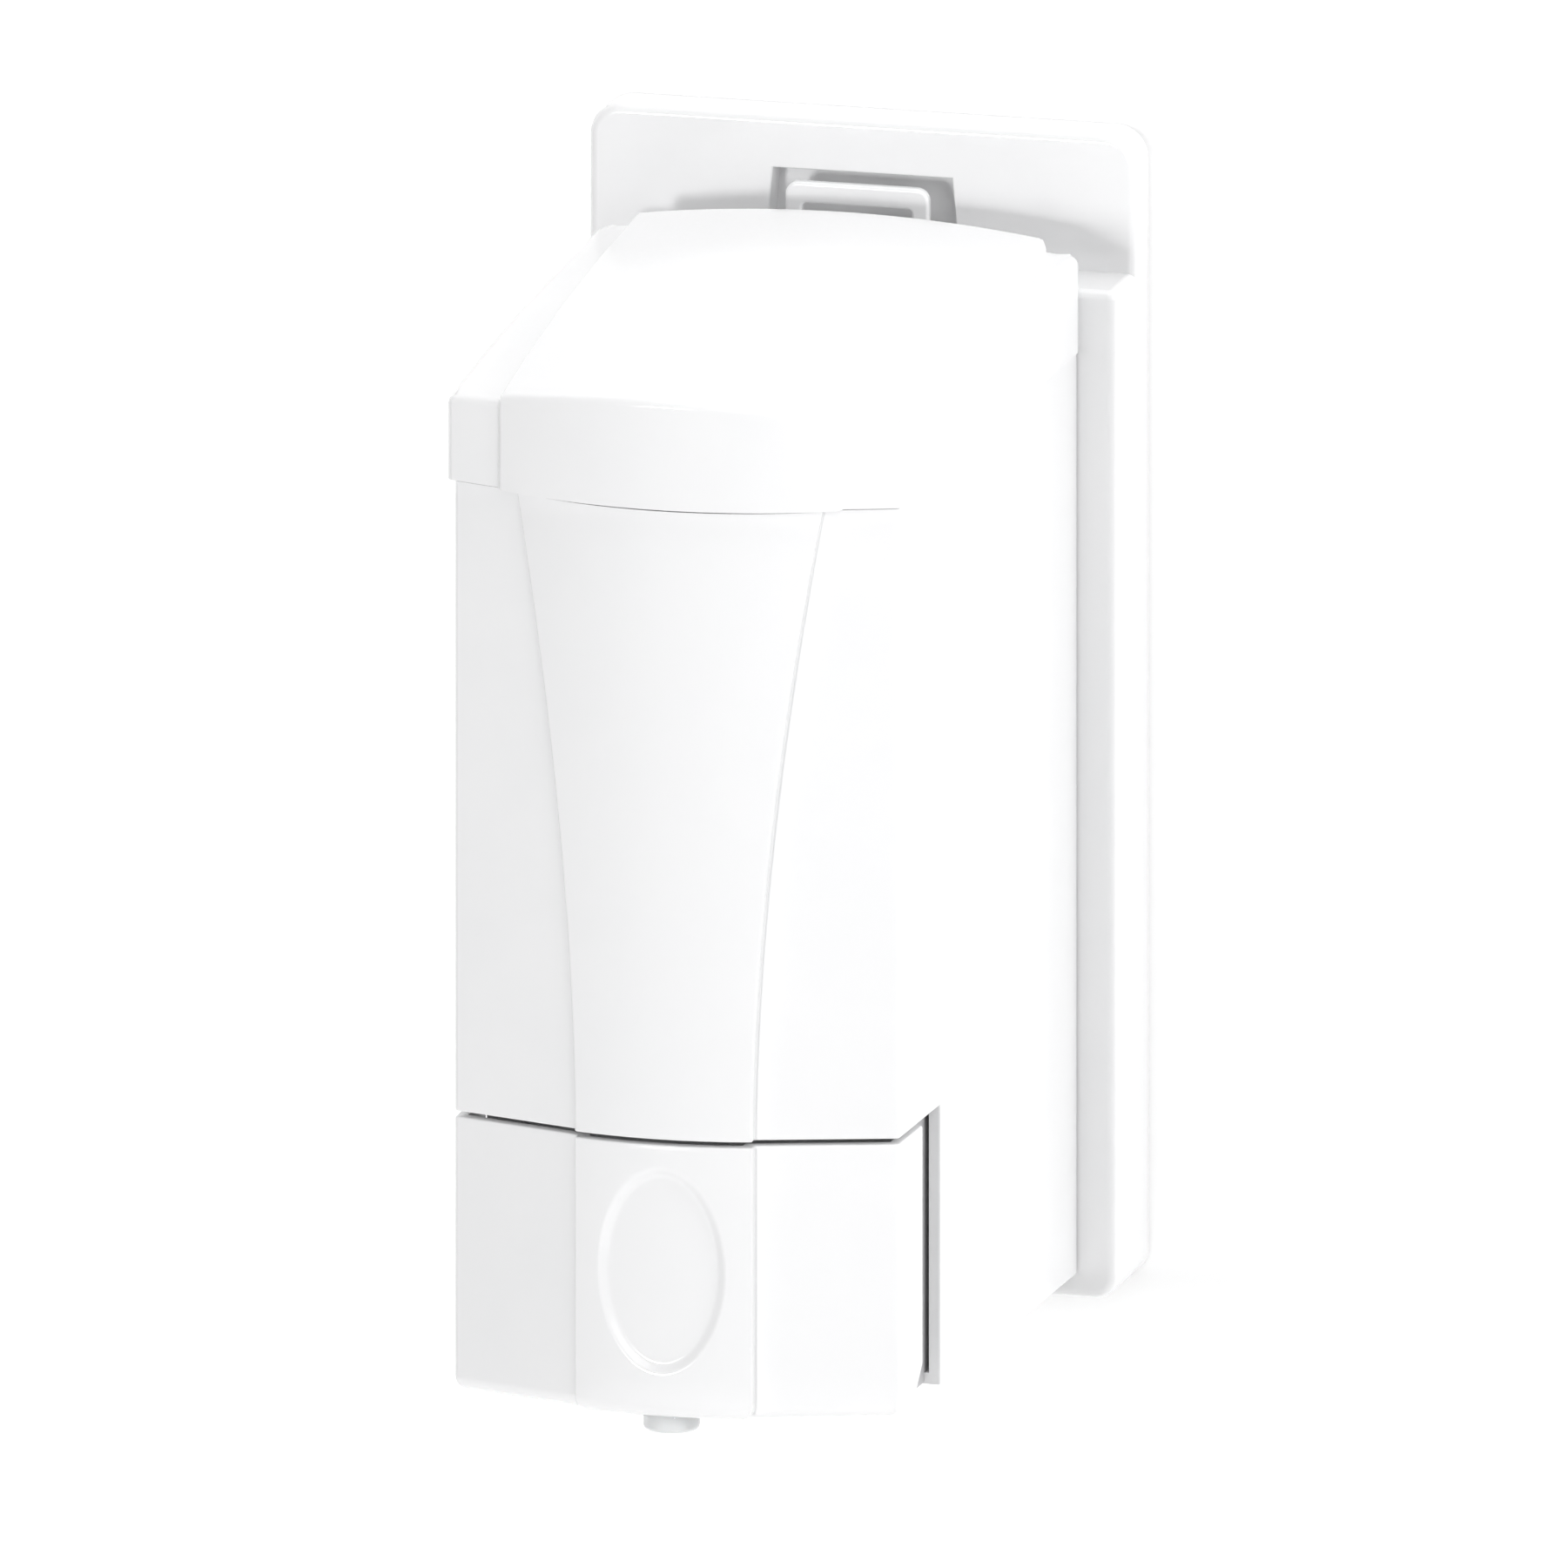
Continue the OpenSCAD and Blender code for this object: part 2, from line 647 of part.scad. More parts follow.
module housing_back() {
    half = side_half(back_in_y) - wall - face_gap;
    color("white") raise() difference() {
        union() {
            box([-half, back_in_y, bottom_z + wall + face_gap], [half, back_y, back_top_z]);
            // hooks that hang on the chassis
            for (z = hook_rows) both_sides() {
                box([hook_x - hook_w / 2, back_y - 1, z], [hook_x + hook_w / 2, hook_y + hook_t, z + hook_t]);
                box([hook_x - hook_w / 2, hook_y, z - hook_drop],
                    [hook_x + hook_w / 2, hook_y + hook_t, z + hook_t]);
            }
            // keeper that the release latch holds down
            box([-keeper_half, back_y - 1, keeper_z], [keeper_half, keeper_y, keeper_z + keeper_t]);
            // knuckles of the lid hinge
            both_sides() {
                box([knuckle_x, hinge_y - knuckle_r, unit_h + 1],
                    [knuckle_x + knuckle_w, back_in_y + 1, ledge_z - 1]);
                box([knuckle_x, hinge_y - knuckle_r, unit_h + 1],
                    [knuckle_x + knuckle_w, hinge_y + knuckle_r, hinge_z]);
                x_rod(knuckle_r, knuckle_x, knuckle_x + knuckle_w, hinge_y, hinge_z);
            }
        }
        both_sides() x_rod(pin_d / 2, knuckle_x - 1, knuckle_x + knuckle_w + 1, hinge_y, hinge_z);
        for (z = back_screw_rows) both_sides() {
            y_rod(screw_clear_r, back_in_y - 1, back_y + 1, back_screw_x, z);
            y_rod(screw_head_r + slack / 2, back_y - screw_head_t - face_gap, back_y + 1, back_screw_x, z);
        }
    }
}

module back_screws() {
    color("silver") raise() for (z = back_screw_rows) both_sides() {
        y_rod(screw_r, back_in_y - back_boss_l + 6, back_y - 1, back_screw_x, z);
        difference() {
            y_rod(screw_head_r, back_y - screw_head_t - face_gap, back_y - face_gap, back_screw_x, z);
            box([back_screw_x - 2, back_y - 1, z - 0.4], [back_screw_x + 2, back_y, z + 0.4]);
            box([back_screw_x - 0.4, back_y - 1, z - 2], [back_screw_x + 0.4, back_y, z + 2]);
        }
    }
}

module lid() {
    base = unit_h - 5;
    rear_open_half = side_half(back_y) - lip_step;
    color("white") raise() difference() {
        union() {
            difference() {
                lid_block(0, base);
                lid_block(wall, base - 1);
                // no rear skirt, so that the lid can swing past the housing back
                box([-rear_open_half, lid_rear_y - lid_rear_t - 1, base - 1],
                    [rear_open_half, 0, lid_rear_low_z]);
                both_sides() box([knuckle_x - slack, hinge_y - 5, base],
                    [knuckle_x + knuckle_w + slack, 0, hinge_z + lid_knuckle_clear]);
                below_lid_edge();
            }
            both_sides() {
                x_rod(ear_r, ear_x, ear_x + ear_w, hinge_y, hinge_z);
                box([ear_x, hinge_y - ear_r, hinge_z], [ear_x + ear_w, hinge_y + ear_r, hinge_z + 5.4]);
            }
        }
        both_sides() x_rod(pin_d / 2 + run_fit, ear_x - 1, ear_x + ear_w + slack / 2, hinge_y, hinge_z);
    }
}

// All that lies below the sloping lower edge of the lid
module below_lid_edge() {
    translate([0, front_y, unit_h + lid_gap]) rotate([tilt, 0, 0])
        translate([-front_w, -front_w, -front_w]) cube([2 * front_w, 2 * front_w + side_run, front_w]);
}

module lid_pins() {
    color("silver") raise() both_sides()
        x_rod(pin_d / 2, ear_x, knuckle_x + knuckle_w, hinge_y, hinge_z);
}

// ---- Push panel and what moves with it ----

module push_panel() {
    half = side_half(wing_y) + 1;
    color("white") raise() difference() {
        union() {
            difference() {
                intersection() {
                    union() {
                        plan_prism(0, bottom_z, panel_top_z);
                        bulge(0, bottom_z, panel_top_z);
                    }
                    box([-half, bulge_y - 1, 0], [half, wing_y, parting_z]);
                    y_slab(bulge_y - 1, wing_y + 1) union() {
                        round_rect([-front_w / 2, bottom_z], [front_w / 2, panel_top_z - 1], panel_corner_r);
                        translate([-half, bottom_z + panel_corner_r])
                            square([2 * half, panel_top_z - bottom_z - panel_corner_r]);
                    }
                }
                plan_prism(wall, bottom_z + wall, panel_top_z + 1);
                bulge(wall, bottom_z + wall, panel_top_z + 1);
                // open beside the floor, where the cheeks of the pump bracket stand
                both_sides() intersection() {
                    box([cheek_x - cheek_t - 2, front_y + wall + 1, 0], [front_w, 0, bottom_z + wall + 1]);
                    plan_prism(wall, 0, bottom_z + wall + 1);
                }
                // finger dish
                difference() {
                    y_slab(bulge_y - 1, front_y) oval();
                    translate([0, bulge_y + bulge_r, 0])
                        cylinder(r = bulge_r - oval_depth, h = parting_z, $fn = 180);
                }
                // chamfer under the rear of the wings
                translate([0, wing_y, bottom_z]) rotate([45, 0, 0])
                    cube([2 * half, wing_chamfer * sqrt(2), wing_chamfer * sqrt(2)], center = true);
                // nozzle opening
                translate([0, nozzle_y, 0]) cylinder(r = nozzle_d / 2 + 0.6, h = bottom_z + wall + 1);
            }
            y_rod(pad_r, bulge_y + oval_depth + 0.6, head_front_y, 0, pump_z);
            both_sides() intersection() {
                y_rod(rod_d / 2 + 2, bulge_y, boss_y, rod_x, pump_z);
                plan_prism(wall / 2, 0, unit_h);
            }
        }
        both_sides() y_rod(rod_d / 2, rod_front_y, boss_y + 1, rod_x, pump_z);
    }
}

module guide_rods() {
    color("silver") raise() both_sides() difference() {
        y_rod(rod_d / 2, rod_front_y, rod_rear_y, rod_x, pump_z);
        difference() {
            y_rod(rod_d / 2 + 1, clip_y(), clip_y() + clip_t, rod_x, pump_z);
            y_rod(rod_d / 2 - 0.4, clip_y() - 1, clip_y() + clip_t + 1, rod_x, pump_z);
        }
    }
}

// Place of the clips that stop the guide rods against their bushes
function clip_y() = brace_y - bush_flange_t + bush_l + slack;

module rod_clips() {
    color("dimgray") raise() both_sides() difference() {
        y_rod(clip_r, clip_y(), clip_y() + clip_t, rod_x, pump_z);
        y_rod(rod_d / 2 - 0.4, clip_y() - 1, clip_y() + clip_t + 1, rod_x, pump_z);
        box([rod_x - 1, clip_y() - 1, pump_z - clip_r - 1], [rod_x + 1, clip_y() + clip_t + 1, pump_z]);
    }
}

module panel_springs() {
    color("lightsteelblue") raise() both_sides()
        y_coil(rod_d / 2 + 1.1, 0.8, boss_y + face_gap, brace_y - bush_flange_t - face_gap, 8, rod_x, pump_z);
}

module plunger() {
    color("white") raise() difference() {
        y_rod(plunger_d / 2, head_rear_y - 4, piston_front_y + piston_l - 1.5, 0, pump_z);
        y_rod(passage_d / 2, head_rear_y - 5, piston_front_y + piston_l, 0, pump_z);
    }
}

module piston() {
    seal_y = piston_front_y + piston_l / 2;
    color("lightgray") raise() difference() {
        y_rod(piston_d / 2 - piston_slack, piston_front_y, piston_front_y + piston_l, 0, pump_z);
        y_rod(plunger_d / 2, piston_front_y - 1, piston_front_y + piston_l - 1.5, 0, pump_z);
        y_rod(passage_d / 2, piston_front_y, piston_front_y + piston_l + 1, 0, pump_z);
        difference() {
            y_rod(piston_d / 2 + 1, seal_y - seal_w / 2, seal_y + seal_w / 2, 0, pump_z);
            y_rod(piston_d / 2 - seal_depth, seal_y - seal_w, seal_y + seal_w, 0, pump_z);
        }
    }
}

module piston_seal() {
    seal_y = piston_front_y + piston_l / 2;
    color("dimgray") raise() difference() {
        y_rod(piston_d / 2, seal_y - seal_w / 2 + eps, seal_y + seal_w / 2 - eps, 0, pump_z);
        y_rod(piston_d / 2 - seal_depth + eps, seal_y - seal_w, seal_y + seal_w, 0, pump_z);
    }
}

module nozzle_head() {
    color("white") raise() difference() {
        union() {
            y_rod(head_r, head_front_y, head_rear_y, 0, pump_z);
            translate([0, nozzle_y, spout_low_z]) cylinder(r = spout_r, h = pump_z - spout_low_z);
        }
        y_rod(plunger_d / 2, head_rear_y - 4, head_rear_y + 1, 0, pump_z);
        y_rod(passage_d / 2, nozzle_y, head_rear_y, 0, pump_z);
        translate([0, nozzle_y, spout_low_z - 1]) cylinder(r = passage_d / 2, h = pump_z - spout_low_z + 1);
    }
}

module outlet_valve() {
    color("lightblue") raise() translate([0, nozzle_y, 0]) difference() {
        union() {
            translate([0, 0, spout_low_z - 1.5]) cylinder(r = spout_r - 0.1, h = 1.5);
            translate([0, 0, spout_low_z - 3.6]) cylinder(r1 = 1.2, r2 = 2.6, h = 2.2);
        }
        box([-2, -0.15, spout_low_z - 4], [2, 0.15, spout_low_z - 1.2]);
        translate([0, 0, spout_low_z - 1.2]) cylinder(r = passage_d / 2, h = 2);
    }
}

module nozzle() {
    color("lightcyan", 0.7) raise() translate([0, nozzle_y, 0]) difference() {
        union() {
            translate([0, 0, nozzle_z]) cylinder(r1 = nozzle_d / 2 - 0.8, r2 = nozzle_d / 2, h = 1.5);
            translate([0, 0, nozzle_z + 1.5]) cylinder(r = nozzle_d / 2, h = nozzle_top_z - nozzle_z - 1.5);
        }
        translate([0, 0, nozzle_z + 2.5]) cylinder(r = spout_r, h = nozzle_top_z - nozzle_z);
        translate([0, 0, nozzle_z - 1]) cylinder(r = 3, h = 5);
    }
}

// ---- Inside the housing ----

module pump_bracket() {
    color("gainsboro") raise() difference() {
        union() {
            intersection() {
                plan_prism(wall + slack, shelf_z, shelf_z + shelf_t);
                box([-front_w, front_y + 2, 0], [front_w, back_in_y - 5, unit_h]);
            }
            box([-cheek_x, brace_y, bottom_z + wall + 1], [cheek_x, brace_y + brace_t, shelf_z + eps]);
            // cheeks that close the slots behind the wings
            both_sides() {
                box([cheek_x - cheek_t, cheek_front_y, bottom_z + wall / 5],
                    [cheek_x, slot_y - face_gap, parting_z - face_gap]);
                box([cheek_x - cheek_t, slot_y - 1, bottom_z + wall + face_gap],
                    [cheek_x, cheek_front_y + cheek_l, parting_z - face_gap]);
                box([cheek_x - cheek_t, slot_y + face_gap, parting_z - 1],
                    [cheek_x, cheek_front_y + cheek_l, shelf_z + eps]);
            }
            both_sides() box([rail_x - 4, brace_y, pump_z + 8], [rail_x - 1.5, brace_y + 67, shelf_z + eps]);
        }
        y_rod(barrel_out_r, brace_y - 1, brace_y + brace_t + 1, 0, pump_z);
        both_sides() y_rod(bush_r, brace_y - 1, brace_y + brace_t + 1, rod_x, pump_z);
        translate([0, neck_y, shelf_z - 1]) cylinder(r = neck_d / 2 + 0.5, h = shelf_t + 2);
        for (y = bracket_screw_ys) both_sides() translate([bracket_screw_x, y, 0]) {
            translate([0, 0, shelf_z - 1]) cylinder(r = screw_r + 0.2, h = shelf_t + 2);
            translate([0, 0, shelf_z + shelf_t - bracket_head_t])
                cylinder(r = bracket_head_r + 0.1, h = bracket_head_t + 1);
        }
    }
}

module bracket_screws() {
    seat = shelf_z + shelf_t - bracket_head_t;
    color("silver") raise() for (y = bracket_screw_ys) both_sides() translate([bracket_screw_x, y, 0]) {
        translate([0, 0, seat - bracket_screw_l + 0.5]) cylinder(r = screw_r, h = bracket_screw_l);
        difference() {
            translate([0, 0, seat]) cylinder(r = bracket_head_r, h = bracket_head_t - face_gap);
            box([-1.8, -0.4, seat + 0.6], [1.8, 0.4, seat + 2]);
            box([-0.4, -1.8, seat + 0.6], [0.4, 1.8, seat + 2]);
        }
    }
}

module guide_bushes() {
    color("ivory") raise() both_sides() difference() {
        union() {
            y_rod(bush_r, brace_y - bush_flange_t, brace_y - bush_flange_t + bush_l, rod_x, pump_z);
            y_rod(bush_flange_r, brace_y - bush_flange_t, brace_y, rod_x, pump_z);
        }
        y_rod(rod_d / 2 + run_fit, brace_y - bush_flange_t - 1, brace_y + bush_l, rod_x, pump_z);
    }
}

module reservoir() {
    clear = wall + 2;
    color("aliceblue") raise() difference() {
        union() {
            plan_prism(clear, tank_z, tank_top_z, back_in_y - 4);
            plan_prism(clear - 1.2, tank_top_z - 2, tank_top_z, back_in_y - 3);
            translate([0, neck_y, neck_low_z]) cylinder(r = neck_d / 2, h = tank_z - neck_low_z + 1);
        }
        plan_prism(clear + tank_wall, tank_z + 2, tank_top_z + 1, back_in_y - 4 - tank_wall);
        translate([0, neck_y, neck_low_z - 1]) cylinder(r = neck_d / 2 - neck_wall, h = tank_z - neck_low_z + 5);
    }
}

module strainer() {
    r = neck_d / 2 - neck_wall - 0.1;
    low = tank_z - 5;
    high = tank_z + 9;
    color("gainsboro") raise() translate([0, neck_y, 0]) difference() {
        union() {
            translate([0, 0, low]) cylinder(r = r, h = high - low);
            translate([0, 0, tank_z + 2]) cylinder(r = r + 2, h = 1);
        }
        translate([0, 0, low - 1]) cylinder(r = r - 0.8, h = high - low);
        for (a = [0:45:315], z = [tank_z + 4.5, tank_z + 6.7]) rotate([0, 0, a])
            x_rod(0.7, 0, r + 1, 0, z);
        for (a = [0:60:300]) rotate([0, 0, a]) translate([2.1, 0, high - 2]) cylinder(r = 0.6, h = 3);
    }
}

module neck_seal() {
    color("dimgray") raise() translate([0, neck_y, neck_low_z + 2]) difference() {
        cylinder(r = cup_in_r, h = 6);
        translate([0, 0, -1]) cylinder(r = neck_d / 2, h = 8);
    }
}

module pump_body() {
    color("white") raise() difference() {
        union() {
            y_rod(barrel_out_r, barrel_front_y, barrel_rear_y, 0, pump_z);
            y_rod(barrel_out_r + 3, brace_y + brace_t, brace_y + brace_t + 2.5, 0, pump_z);
            translate([0, neck_y, pump_z]) cylinder(r = cup_in_r + cup_wall, h = cup_top_z - pump_z);
        }
        y_rod(barrel_r, barrel_front_y - 1, barrel_rear_y - barrel_floor_t, 0, pump_z);
        translate([0, neck_y, cup_floor_z]) cylinder(r = cup_in_r, h = cup_top_z - cup_floor_z + 1);
        translate([0, neck_y, pump_z]) cylinder(r = passage_d / 2, h = cup_floor_z - pump_z + 1);
    }
}

module pump_cap() {
    front = barrel_front_y - cap_t;
    color("gainsboro") raise() difference() {
        y_rod(barrel_out_r + cap_wall, front, brace_y, 0, pump_z);
        y_rod(barrel_out_r, barrel_front_y, brace_y + 1, 0, pump_z);
        y_rod(plunger_d / 2 + run_fit, front - 1, barrel_front_y + 1, 0, pump_z);
    }
}

module inlet_valve() {
    color("dimgray") raise() translate([0, neck_y, cup_floor_z]) difference() {
        cylinder(r = cup_in_r - 0.1, h = valve_t);
        difference() {
            translate([0, 0, -1]) cylinder(r = 3.6, h = valve_t + 2);
            translate([0, 0, -2]) cylinder(r = 3.2, h = valve_t + 4);
            box([-1.5, 0, -2], [1.5, 5, valve_t + 2]);
        }
    }
}

module pump_spring() {
    color("lightsteelblue") raise() y_coil(4.6, 1, piston_front_y + piston_l + face_gap,
        barrel_rear_y - barrel_floor_t - face_gap, 6, 0, pump_z);
}

wall_plate();
release_latch();
latch_pin();
latch_spring();
housing();
housing_back();
back_screws();
lid();
lid_pins();
push_panel();
guide_rods();
rod_clips();
panel_springs();
pump_bracket();
bracket_screws();
guide_bushes();
reservoir();
strainer();
neck_seal();
pump_body();
pump_cap();
inlet_valve();
pump_spring();
plunger();
piston();
piston_seal();
nozzle_head();
outlet_valve();
nozzle();
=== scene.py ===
"""Looks of a wall mounted soap dispenser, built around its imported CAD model."""
import json
import logging
import math
from dataclasses import dataclass, field
from enum import Enum
from typing import Callable, Iterable, Sequence

import bpy
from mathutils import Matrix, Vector


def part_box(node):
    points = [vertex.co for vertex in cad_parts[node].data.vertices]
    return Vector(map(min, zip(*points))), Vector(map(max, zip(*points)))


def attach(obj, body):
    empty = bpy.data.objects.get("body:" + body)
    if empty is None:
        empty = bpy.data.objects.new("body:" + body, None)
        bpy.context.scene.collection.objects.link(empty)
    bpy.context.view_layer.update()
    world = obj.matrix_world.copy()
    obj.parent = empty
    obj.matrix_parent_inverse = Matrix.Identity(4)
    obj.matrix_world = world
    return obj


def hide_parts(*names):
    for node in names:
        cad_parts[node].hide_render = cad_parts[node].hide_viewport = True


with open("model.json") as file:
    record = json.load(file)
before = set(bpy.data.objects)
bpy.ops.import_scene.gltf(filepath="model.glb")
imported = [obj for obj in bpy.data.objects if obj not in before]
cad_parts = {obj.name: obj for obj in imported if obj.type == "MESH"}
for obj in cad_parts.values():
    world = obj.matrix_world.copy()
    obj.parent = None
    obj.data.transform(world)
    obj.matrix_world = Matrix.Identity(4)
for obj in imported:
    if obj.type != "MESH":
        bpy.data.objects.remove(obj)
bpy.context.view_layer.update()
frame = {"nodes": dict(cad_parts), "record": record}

MM = 0.001
log = logging.getLogger("dispenser")

Point = tuple[float, float]
Piece = bpy.types.Object
Socket = bpy.types.NodeSocket
UNCUT = -400.0  # millimetres, well in front of the dispenser


class Slot(Enum):
    """Finishes of the dispenser's pieces."""

    WHITE_ABS = "white_abs"
    NATURAL_PP = "natural_pp"
    GREY_ACETAL = "grey_acetal"
    CLEAR_NOZZLE = "clear_nozzle"
    SEAL_RUBBER = "seal_rubber"
    STEEL = "steel"


class Body(Enum):
    """Moving groups of the dispenser."""

    WALL_UNIT = "wall_unit"
    REFILL_LID = "refill_lid"
    PUSH_UNIT = "push_unit"
    LATCH = "latch"


class Merge(Enum):
    """Ways of combining two solids."""

    CUT = "DIFFERENCE"
    ADD = "UNION"


FOOT_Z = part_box("wall_plate")[0].z / MM
SIDES = (-1, 1)


def at(x: float, y: float, z: float) -> Vector:
    """A point of the frame from millimetres, with z counted from the foot of the wall plate."""
    return Vector((x * MM, y * MM, (z + FOOT_Z) * MM))


def edge_of(node: str, axis: int, high: bool) -> float:
    """Where a CAD node begins or ends along an axis."""
    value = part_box(node)[1 if high else 0][axis] / MM
    return value - FOOT_Z if axis == 2 else value


def measured(node: str, axis: int, high: bool) -> float:
    """A dataclass field whose value is read from a CAD node's box."""
    return field(default_factory=lambda: edge_of(node, axis, high))


def flank(side: int, near: float, far: float) -> list[float]:
    """The lower and the higher x of a span on one side of the middle."""
    return sorted((side * near, side * far))


def ease(t: float) -> float:
    """A smooth step from 0 to 1."""
    t = min(1.0, max(0.0, t))
    return t * t * (3.0 - 2.0 * t)


def spread(low: float, high: float, count: int) -> list[float]:
    """Evenly spaced values, both ends included."""
    return [low + (high - low) * i / count for i in range(count + 1)]


def rounded(points: Sequence[Point], radii: Sequence[float], steps: int) -> list[Point]:
    """An open path whose inner corners are rounded.

    Args:
        points: Corners of the path, its two ends included.
        radii: Radius at each inner corner.
        steps: Segments in each rounded corner.

    Returns:
        Points of the path, as many for any corners.
    """
    path = [points[0]]
    for before, corner, after, radius in zip(points, points[1:], points[2:], radii):
        middle = Vector(corner)
        back = (Vector(before) - middle).normalized()
        ahead = (Vector(after) - middle).normalized()
        half = back.angle(ahead) / 2
        reach = radius / math.tan(half)
        centre = middle + (back + ahead).normalized() * (radius / math.sin(half))
        first = middle + back * reach - centre
        last = middle + ahead * reach - centre
        turn = math.pi - 2 * half
        for i in range(steps + 1):
            t = i / steps
            spot = centre + (first * math.sin((1 - t) * turn) + last * math.sin(t * turn)) / math.sin(turn)
            path.append((spot.x, spot.y))
    path.append(points[-1])
    return path


class Bench:
    """Modelling steps that all sub-assemblies share."""

    keen = math.radians(24)

    @staticmethod
    def clear() -> None:
        """Leaves edit mode and deselects everything."""
        if bpy.context.object and bpy.context.object.mode != "OBJECT":
            bpy.ops.object.mode_set(mode="OBJECT")
        bpy.ops.object.select_all(action="DESELECT")

    @staticmethod
    def hold(obj: Piece) -> None:
        """Selects one object and makes it active."""
        Bench.clear()
        obj.select_set(True)
        bpy.context.view_layer.objects.active = obj

    @staticmethod
    def settle(name: str) -> Piece:
        """Names the new primitive and moves its place into its mesh."""
        obj = bpy.context.object
        obj.name = name
        obj.data.name = name
        bpy.ops.object.transform_apply(location=True, rotation=True, scale=True)
        return obj

    @staticmethod
    def block(name: str, low: Vector, high: Vector, tilt: float = 0.0) -> Piece:
        """A block between two corners."""
        Bench.clear()
        bpy.ops.mesh.primitive_cube_add(
            size=1, location=(low + high) / 2, rotation=(tilt, 0, 0), scale=high - low
        )
        return Bench.settle(name)

    @staticmethod
    def drum(name: str, radius: float, start: Vector, end: Vector, sides: int = 48) -> Piece:
        """A round bar between two points.

        Args:
            name: Name of the piece.
            radius: Radius in millimetres.
            start: Middle of one end.
            end: Middle of the other end.
            sides: Number of sides.

        Returns:
            The new object.
        """
        Bench.clear()
        axis = end - start
        bpy.ops.mesh.primitive_cylinder_add(
            vertices=sides,
            radius=radius * MM,
            depth=axis.length,
            location=(start + end) / 2,
            rotation=axis.to_track_quat("Z", "Y").to_euler(),
        )
        return Bench.settle(name)

    @staticmethod
    def prism(name: str, outline: Sequence[Vector], sweep: Vector) -> Piece:
        """A flat outline, filled and extruded.

        Args:
            name: Name of the piece.
            outline: Corners in order.
            sweep: The way it is extruded.

        Returns:
            The new object.
        """
        Bench.clear()
        bpy.ops.mesh.primitive_circle_add(vertices=len(outline), radius=0.01, fill_type="NGON")
        obj = Bench.settle(name)
        for vertex, spot in zip(obj.data.vertices, outline):
            vertex.co = spot
        bpy.ops.object.mode_set(mode="EDIT")
        bpy.ops.mesh.select_all(action="SELECT")
        bpy.ops.mesh.extrude_region_move(TRANSFORM_OT_translate={"value": sweep})
        bpy.ops.mesh.select_all(action="SELECT")
        bpy.ops.mesh.normals_make_consistent(inside=False)
        bpy.ops.object.mode_set(mode="OBJECT")
        return obj

    @staticmethod
    def sheet(name: str, rows: Sequence[Sequence[Vector]]) -> Piece:
        """A grid whose points are laid in rows.

        Args:
            name: Name of the piece.
            rows: Points of each row, as many in each.

        Returns:
            The new object.
        """
        Bench.clear()
        bpy.ops.mesh.primitive_grid_add(x_subdivisions=len(rows[0]) - 1, y_subdivisions=len(rows) - 1, size=1)
        obj = Bench.settle(name)
        spots = [spot for row in rows for spot in row]
        if len(spots) != len(obj.data.vertices):
            raise ValueError(f"{name}: {len(spots)} points for {len(obj.data.vertices)} vertices")
        for vertex, spot in zip(obj.data.vertices, spots):
            vertex.co = spot
        return obj

    @staticmethod
    def pick(obj: Piece, test: Callable[[Vector, Vector], bool]) -> None:
        """Opens a mesh for editing with the edges that pass a test selected.

        Args:
            obj: The piece.
            test: Takes the two ends of an edge, in millimetres from the foot of the wall plate.
        """
        drop = Vector((0, 0, FOOT_Z))
        spots = [v.co / MM - drop for v in obj.data.vertices]
        Bench.grab(
            obj,
            {
                key
                for key, (first, second) in Bench.beside(obj).items()
                if first.angle(second, 0.0) > Bench.keen and test(spots[key[0]], spots[key[1]])
            },
        )

    @staticmethod
    def beside(obj: Piece) -> dict[tuple[int, int], list[Vector]]:
        """Normals of the two faces beside each edge."""
        sides: dict[tuple[int, int], list[Vector]] = {}
        for face in obj.data.polygons:
            for key in face.edge_keys:
                sides.setdefault(key, []).append(face.normal.copy())
        return {key: pair for key, pair in sides.items() if len(pair) == 2}

    @staticmethod
    def grab(obj: Piece, keys: set[tuple[int, int]]) -> None:
        """Opens a mesh for editing with some edges selected.

        Args:
            obj: The piece.
            keys: Keys of the edges.
        """
        Bench.hold(obj)
        bpy.context.tool_settings.mesh_select_mode = (False, True, False)
        mesh = obj.data
        for part in (mesh.vertices, mesh.edges, mesh.polygons):
            part.foreach_set("select", [False] * len(part))
        for edge in mesh.edges:
            edge.select = edge.key in keys
        bpy.ops.object.mode_set(mode="EDIT")

    @staticmethod
    def grab_rim(obj: Piece) -> None:
        """Opens a mesh for editing with its open rim selected."""
        Bench.hold(obj)
        bpy.context.tool_settings.mesh_select_mode = (False, True, False)
        bpy.ops.object.mode_set(mode="EDIT")
        bpy.ops.mesh.select_all(action="DESELECT")
        bpy.ops.mesh.select_non_manifold()

    @staticmethod
    def bevel(width: float, steps: int) -> None:
        """Rounds the selected edges, by a width in millimetres, and leaves edit mode."""
        bpy.ops.mesh.bevel(offset=width * MM, segments=steps, profile=0.5, affect="EDGES")
        bpy.ops.object.mode_set(mode="OBJECT")

    @staticmethod
    def soften(
        obj: Piece, test: Callable[[Vector, Vector], bool], width: float, steps: int
    ) -> None:
        """Rounds the edges that pass a test."""
        Bench.pick(obj, test)
        Bench.bevel(width, steps)

    @staticmethod
    def apply(obj: Piece, modifier: bpy.types.Modifier) -> None:
        """Applies one modifier."""
        Bench.hold(obj)
        bpy.ops.object.modifier_apply(modifier=modifier.name)

